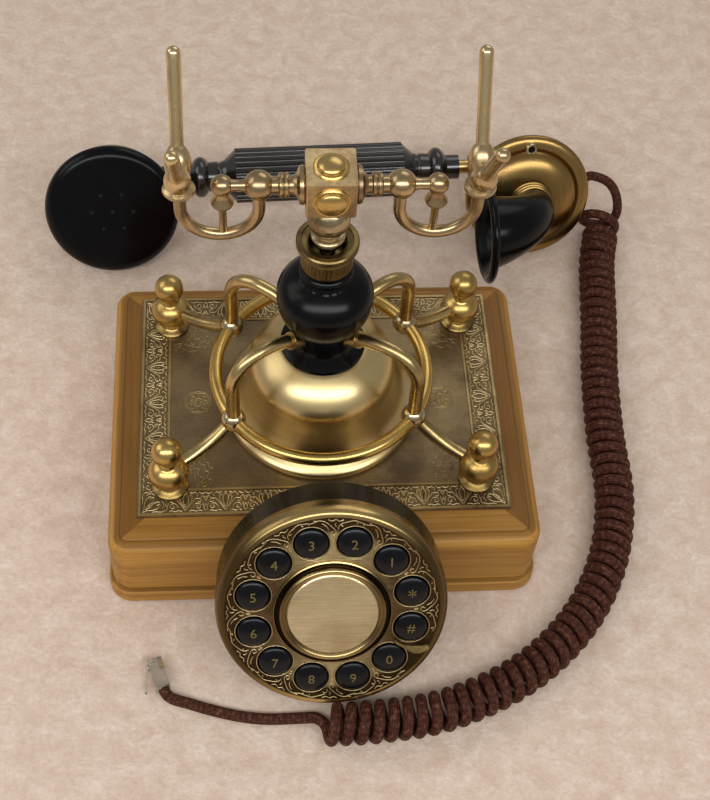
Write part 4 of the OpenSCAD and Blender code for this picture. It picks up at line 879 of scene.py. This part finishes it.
# One of the scrolls between two keys and the bezel
SCROLL = polar([
    [(-15, 47.7), (-11.5, 47), (-7.5, 47.8), (-3.8, 46.6), (-0.8, 44.2), (1.5, 42.2), (1.6, 40.5),
     (-0.3, 40), (-1.3, 41), (-0.4, 42)],
    [(15, 47.4), (11.5, 48), (8, 46.9), (5, 45.9), (3.2, 44.4), (3, 42.8)],
    [(-6.2, 46.2), (-4, 44.8), (-2.6, 42.8)],
    [(5.6, 47.9), (3.4, 47), (1.4, 47.9), (-0.6, 47.1), (-2.6, 48)],
    [(1.6, 46.2), (1, 45.2), (1.8, 44.2)],
    [(-10.5, 48.1), (-9, 47.9)], [(4.4, 45), (5.6, 44.6)], [(-13.5, 46.4), (-12.4, 47.4)],
    [(13.5, 46.4), (12.6, 47.2)],
    [(0, 38.9), (-0.7, 38), (0, 37), (0.7, 38), (0, 38.9)]])

PITCH, SIDE_PITCH = 19.1, 21.3  # of the border's repeats, along the plate's front and its sides
BORDER_IN = 7.85  # from the plate's edge to the middle of its border
CORNER_IN = 1.9  # from the plate's corner to that of the border
ROSETTE_X, ROSETTE_Y = 61.0, -0.5
KEY_CIRCLE_R, KEY_HOLE_R = 37.0, 8.45
FIRST_KEY, KEY_STEP = 45, 30  # degrees, from the dial's right
STOP_PLACE = 8  # where the finger stop is, between the last two keys


def border_places():
    """Where the border's repeats stand, along the plate's four edges."""
    half_w, half_d = PLATE_X - BORDER_IN, PLATE_Y - BORDER_IN
    places = []
    for k in range(8):
        x = (k - 3.5) * PITCH
        places += [(x, -half_d, 0, 0, 1.0), (x, half_d, 0, 180, 1.0)]
    for k in range(5):
        y = (k - 2) * SIDE_PITCH
        places += [(half_w, y, 0, 90, SIDE_PITCH / PITCH), (-half_w, y, 0, -90, SIDE_PITCH / PITCH)]
    return places


def add_plate_ornament():
    in_x, in_y = PLATE_X - CORNER_IN, PLATE_Y - CORNER_IN
    corners = [(-in_x, -in_y, 0, 0), (in_x, -in_y, 0, 90), (in_x, in_y, 0, 180), (-in_x, in_y, 0, 270)]
    posts = [(x, y, 0, math.degrees(math.atan2(-y, -x)) - 90) for x in (-POST_X, POST_X)
             for y in (-POST_Y, POST_Y)]
    rosettes = [(x, ROSETTE_Y, 0, 0) for x in (-ROSETTE_X, ROSETTE_X)]
    for name, strokes, places, width, height, finish in (
            ("border_palmettes", PALMETTE, border_places(), 0.58, 0.36, RELIEF_BRASS),
            ("border_corners", CORNER, corners, 0.62, 0.36, RELIEF_BRASS),
            ("field_sprays", SPRAY, posts, 0.5, 0.2, WORN_RELIEF),
            ("plate_rosettes", ROSETTE, rosettes, 0.42, 0.3, WORN_RELIEF)):
        raise_lines(name, strokes, places, width, height, "embossed_brass", ABOVE, finish)


def add_dial_ornament():
    """The scrolls between the keys and the bezel, and the bright edge of each key's hole."""
    between = [(0, 0, 0, KEY_STEP * k) for k in range(12) if k != STOP_PLACE]
    raise_lines("dial_scrolls", SCROLL, between, 0.5, 0.36, "brass", DIAL, SCROLL_BRASS)
    keys = [(*at_turn(KEY_CIRCLE_R, math.radians(FIRST_KEY + KEY_STEP * (k - 1))), 0, 0)
            for k in range(12)]
    raise_lines("key_rims", [circle(KEY_HOLE_R, 36)], keys, 0.5, 0.2, "brass", DIAL, SCROLL_BRASS)


# ---- Turned pieces ----

def turned_solid(profile, sides):
    """A solid turned about z from its closed profile of (radius, height), as points and faces."""
    angles = np.linspace(0, 2 * math.pi, sides, endpoint=False)
    points = [(*at_turn(r, a), z) for a in angles for r, z in profile]
    return joined(points, [(a, d, c, b) for a, b, c, d in ring_faces(sides, len(profile))])


def oval(middle, across, high, first, last, steps):
    """Points of a profile on an oval about (0, middle), from one angle to another in degrees."""
    angles = (math.radians(first + (last - first) * k / steps) for k in range(steps + 1))
    return [(abs(across * math.cos(a)), middle + high * math.sin(a)) for a in angles]


HOOP_R, HOOP_Z, JOINT_R = 51.6, 25.6, 6.1  # the hoop's middle line, above the plate, and its joints' balls
POST_TURN = math.degrees(math.atan2(POST_Y, POST_X))


def add_cage_joints():
    """The balls in which a bracket, a strut and the hoop meet."""
    points, faces = turned_solid(oval(0, JOINT_R, JOINT_R, -90, 90, 16), 32)
    ball = linked("joint_ball", smooth_mesh("joint_ball", points, faces))
    places = [(*at_turn(HOOP_R, math.radians(a)), HOOP_Z, a)
              for a in (POST_TURN, 180 - POST_TURN, 180 + POST_TURN, -POST_TURN)]
    grow("cage_joints", SET_OUT, places, "base", "brass", ABOVE, solid=ball, finish=JOINT_BRASS)
    bpy.data.objects.remove(ball)


def bowl(middle, across, high, wall, steps):
    """The profile of a thin bowl whose outside stands just proud of the shell that it covers."""
    proud = 0.04
    return (oval(middle, across + proud, high + proud, -90, -2, steps)
            + oval(middle, across - wall, high - wall, -2, -90, steps))


def add_turned_pieces():
    """The washer in the collar's mouth, the whole bowls over the drilled shells, the receiver's neck, the
    front's screw, and a black disc in that screw's well as painted shade."""
    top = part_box("column_collar")[1].z / MM
    washer = [(r, top + z) for r, z in (
        (8.1, -2.4), (11.9, -1.9), (11.9, -0.7), (9.0, -1.0), (8.5, -1.2), (8.1, -1.7))]
    ring = [(1.75, 1.65), (3.45, 1.0), (3.45, 2.3), (2.95, 2.9), (2.0, 2.7), (1.75, 2.2)]
    # A black disc that fills the screw's well, as painted shade
    well_shade = [(0, 1.6), (1.74, 1.6), (1.74, 1.95), (0, 1.95)]
    neck = oval(0, 7.04, 7, -90, 0, 8) + [(7.04, 8), (0, 8)]
    neck_place = HANDSET @ moved(-107, 0, 0) @ turned(90, "Y")
    screw = TRANSMITTER @ moved(0, 29.2, 21.8)
    for name, profile, body, slot, place, finish, sides in (
            ("collar_washer", washer, "base", "dark_brass", LEVEL, COLLAR_BRASS, 48),
            ("receiver_bowl", bowl(-18.5, 32.7, 15.5, 1.3, 20), "handset", "black_lacquer", RECEIVER,
             BLACK, 64),
            ("transmitter_bowl", bowl(18, 33.5, 24.6, 1.1, 24), "handset", "dark_brass", TRANSMITTER,
             OLIVE_BRASS, 64),
            ("receiver_neck", neck, "handset", "black_lacquer", neck_place, GRIP_BLACK, 32),
            ("front_screw_ring", ring, "handset", "pale_brass", screw, JOINT_BRASS, 32),
            ("front_screw_slot", well_shade, "handset", "black_lacquer", screw, BLACK, 24)):
        points, faces = turned_solid(profile, sides)
        made = piece(name, points, faces, body, place, sharp=40)
        made.data.materials.append(finish)


add_plate_ornament()
add_dial_ornament()
add_cage_joints()
add_turned_pieces()


# ---- Keys ----

KEY_R, KEY_DOME = 7.5, 2.0  # a key's radius, and how far its middle stands above its edge
DIGIT_H, STAR_H = 4.6, 4.2
LETTER_SHARE = 0.72  # a digit's height as a share of the font's size


def digit_mesh(digit):
    """A digit as a flat mesh, and its points about their own middle."""
    data = bpy.data.curves.new("lettering", "FONT")
    data.body = digit
    data.size = DIGIT_H / LETTER_SHARE
    data.extrude = 0.1
    data.resolution_u = 4
    mesh = plain_mesh(linked("lettering", data))
    points = points_of(mesh)
    return mesh, points - (points.min(axis=0) + points.max(axis=0)) / 2


def add_digits():
    for k, digit in enumerate("1234567890#*"):
        mesh, points = digit_mesh(digit)
        points[:, :2] *= (STAR_H if digit == "*" else DIGIT_H) / np.ptp(points[:, 1])
        # Laid on the key's dome
        points[:, 2] += KEY_DOME * np.sqrt(1 - (points[:, 0] ** 2 + points[:, 1] ** 2) / KEY_R ** 2)
        points[:, :2] += at_turn(KEY_CIRCLE_R, math.radians((FIRST_KEY + KEY_STEP * k) % 360))
        mesh.vertices.foreach_set("co", placed(points, DIAL).ravel())
        mesh.materials.clear()
        mesh.materials.append(KEY_INK)
        name = {"#": "hash", "*": "star"}.get(digit, digit)
        settle(f"key_{name}_mark", mesh, f"key_{name}_body")


add_digits()


# ---- Horn ----

HORN_Z = 35.9  # the height of its root
BEND_X, BEND_Z = 28.0, 24.0  # its bend's reach towards the mouth and upwards
HORN_DROP = -5.0  # how far the mouth lies to one side of the root
ROOT_R, BODY_R = 10.6, 20.5  # its radius at the root and where the bend ends
WALL = 2.0
# How far ahead of the bend's end each ring of the mouth lies, and its radius
LIP = [(0.6, 26.6), (1.3, 27.4), (2.0, 28.0), (2.9, 28.1), (3.6, 27.7), (4.5, 26.6), (5.0, 25.6),
       (5.05, 24.6), (4.6, 23.6), (3.4, 22.2), (1.6, 20.9)]


def horn_rings(steps, sides):
    """Rings of the horn's outside, lip and inside, from its root round its bend to the mouth and back."""
    turns = np.linspace(0, 2 * math.pi, sides, endpoint=False)

    def ring(middle, across, r):
        return [np.array(middle) + r * (math.cos(k) * np.array(across) + math.sin(k) * np.array((0, 1, 0)))
                for k in turns]

    def bend(a, inside):
        r = ROOT_R + (BODY_R - ROOT_R) * (a / (math.pi / 2)) ** 1.3 - inside
        across = np.array((BEND_Z * math.cos(a), 0, BEND_X * math.sin(a)))
        middle = (SHELL_X - BEND_X + BEND_X * math.cos(a), SHELL_Y + HORN_DROP * (1 - math.cos(a)),
                  HORN_Z + BEND_Z * math.sin(a))
        return ring(middle, across / np.linalg.norm(across), r)

    def mouth(ahead, r):
        return ring((SHELL_X - BEND_X - ahead, SHELL_Y + HORN_DROP, HORN_Z + BEND_Z), (0, 0, 1), r)

    angles = np.linspace(0, math.pi / 2, steps)
    return ([bend(a, 0) for a in angles] + [mouth(*p) for p in LIP]
            + [bend(a, WALL) for a in angles[::-1]])


def add_horn(steps=22, sides=48):
    rings = horn_rings(steps, sides)
    points = [p for ring in rings for p in ring]
    horn = piece("speaking_horn", points, ring_faces(len(rings), sides), "handset",
                 HANDSET, sharp=50)
    horn.data.materials.append(BLACK)
    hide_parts("horn")


add_horn()


# ---- Plug and socket contacts ----

CONTACT_STEP = 1.02  # between the contacts of a modular plug
SOCKET_X, SOCKET_Y, SOCKET_Z = 30, 69.0, 21.0  # the sockets' contacts, to each side of the middle


def box_solid(name, size):
    x, y, z = (side / 2 for side in size)
    mesh = bpy.data.meshes.new(name)
    mesh.from_pydata([(i * x, j * y, k * z) for i in (-1, 1) for j in (-1, 1) for k in (-1, 1)], [],
                     [(0, 1, 3, 2), (4, 6, 7, 5), (0, 4, 5, 1), (2, 3, 7, 6), (0, 2, 6, 4), (1, 5, 7, 3)])
    return linked(name, mesh)


def contact_row(count):
    """How far each of a row of contacts stands from the row's middle."""
    return [(k - (count - 1) / 2) * CONTACT_STEP for k in range(count)]


def add_contacts():
    blade = box_solid("blade", (2.2, 3.8, 0.4))
    grow("plug_contacts", SET_OUT, [(2.5, 12.2, z, 0) for z in contact_row(4)], "base", "brass", PLUG,
         solid=blade, finish=CONTACT)
    bpy.data.objects.remove(blade)
    wire = box_solid("contact_wire", (0.4, 10.0, 0.4))
    for name, middle, count in (("line_socket_contacts", SOCKET_X, 6),
                                ("handset_socket_contacts", -SOCKET_X, 4)):
        places = [(middle + x, SOCKET_Y, SOCKET_Z, 0) for x in contact_row(count)]
        grow(name, SET_OUT, places, "base", "brass", solid=wire, finish=CONTACT)
    bpy.data.objects.remove(wire)


add_contacts()


# ---- World and floor ----

def set_up_world():
    world = bpy.data.worlds.new("studio")
    bpy.context.scene.world = world
    world.use_nodes = True
    shade = world.node_tree.nodes["Background"]
    shade.inputs["Color"].default_value = (1.0, 0.985, 0.97, 1)
    shade.inputs["Strength"].default_value = 0.3


def set_up_floor():
    """Pale cloth with a soft, mottled nap."""
    made, t, shader, where = material("floor_cloth")
    mottle = t.noise(where, 90, 5, 0.66, 0.4)
    nap = t.noise(where, 420, 3, 0.65)
    colour = t.mix(t.ramp(mottle, 0.32, 0.68), srgb(216, 190, 168), srgb(240, 220, 202))
    colour = t.mix(t.times(t.ramp(nap, 0.35, 0.65), 0.4), colour, srgb(204, 174, 150))
    t.put(shader, Base_Color=colour, Roughness=0.95, Sheen_Weight=0.15)
    bump(t, shader, t.plus(mottle, t.times(nap, 0.35)), 0.0016, 0.7)
    mesh = bpy.data.meshes.new("floor")
    mesh.from_pydata([(-4, -4, 0), (4, -4, 0), (4, 4, 0), (-4, 4, 0)], [], [(0, 1, 2, 3)])
    mesh.materials.append(made)
    floor = linked("floor", mesh)


set_up_world()
set_up_floor()
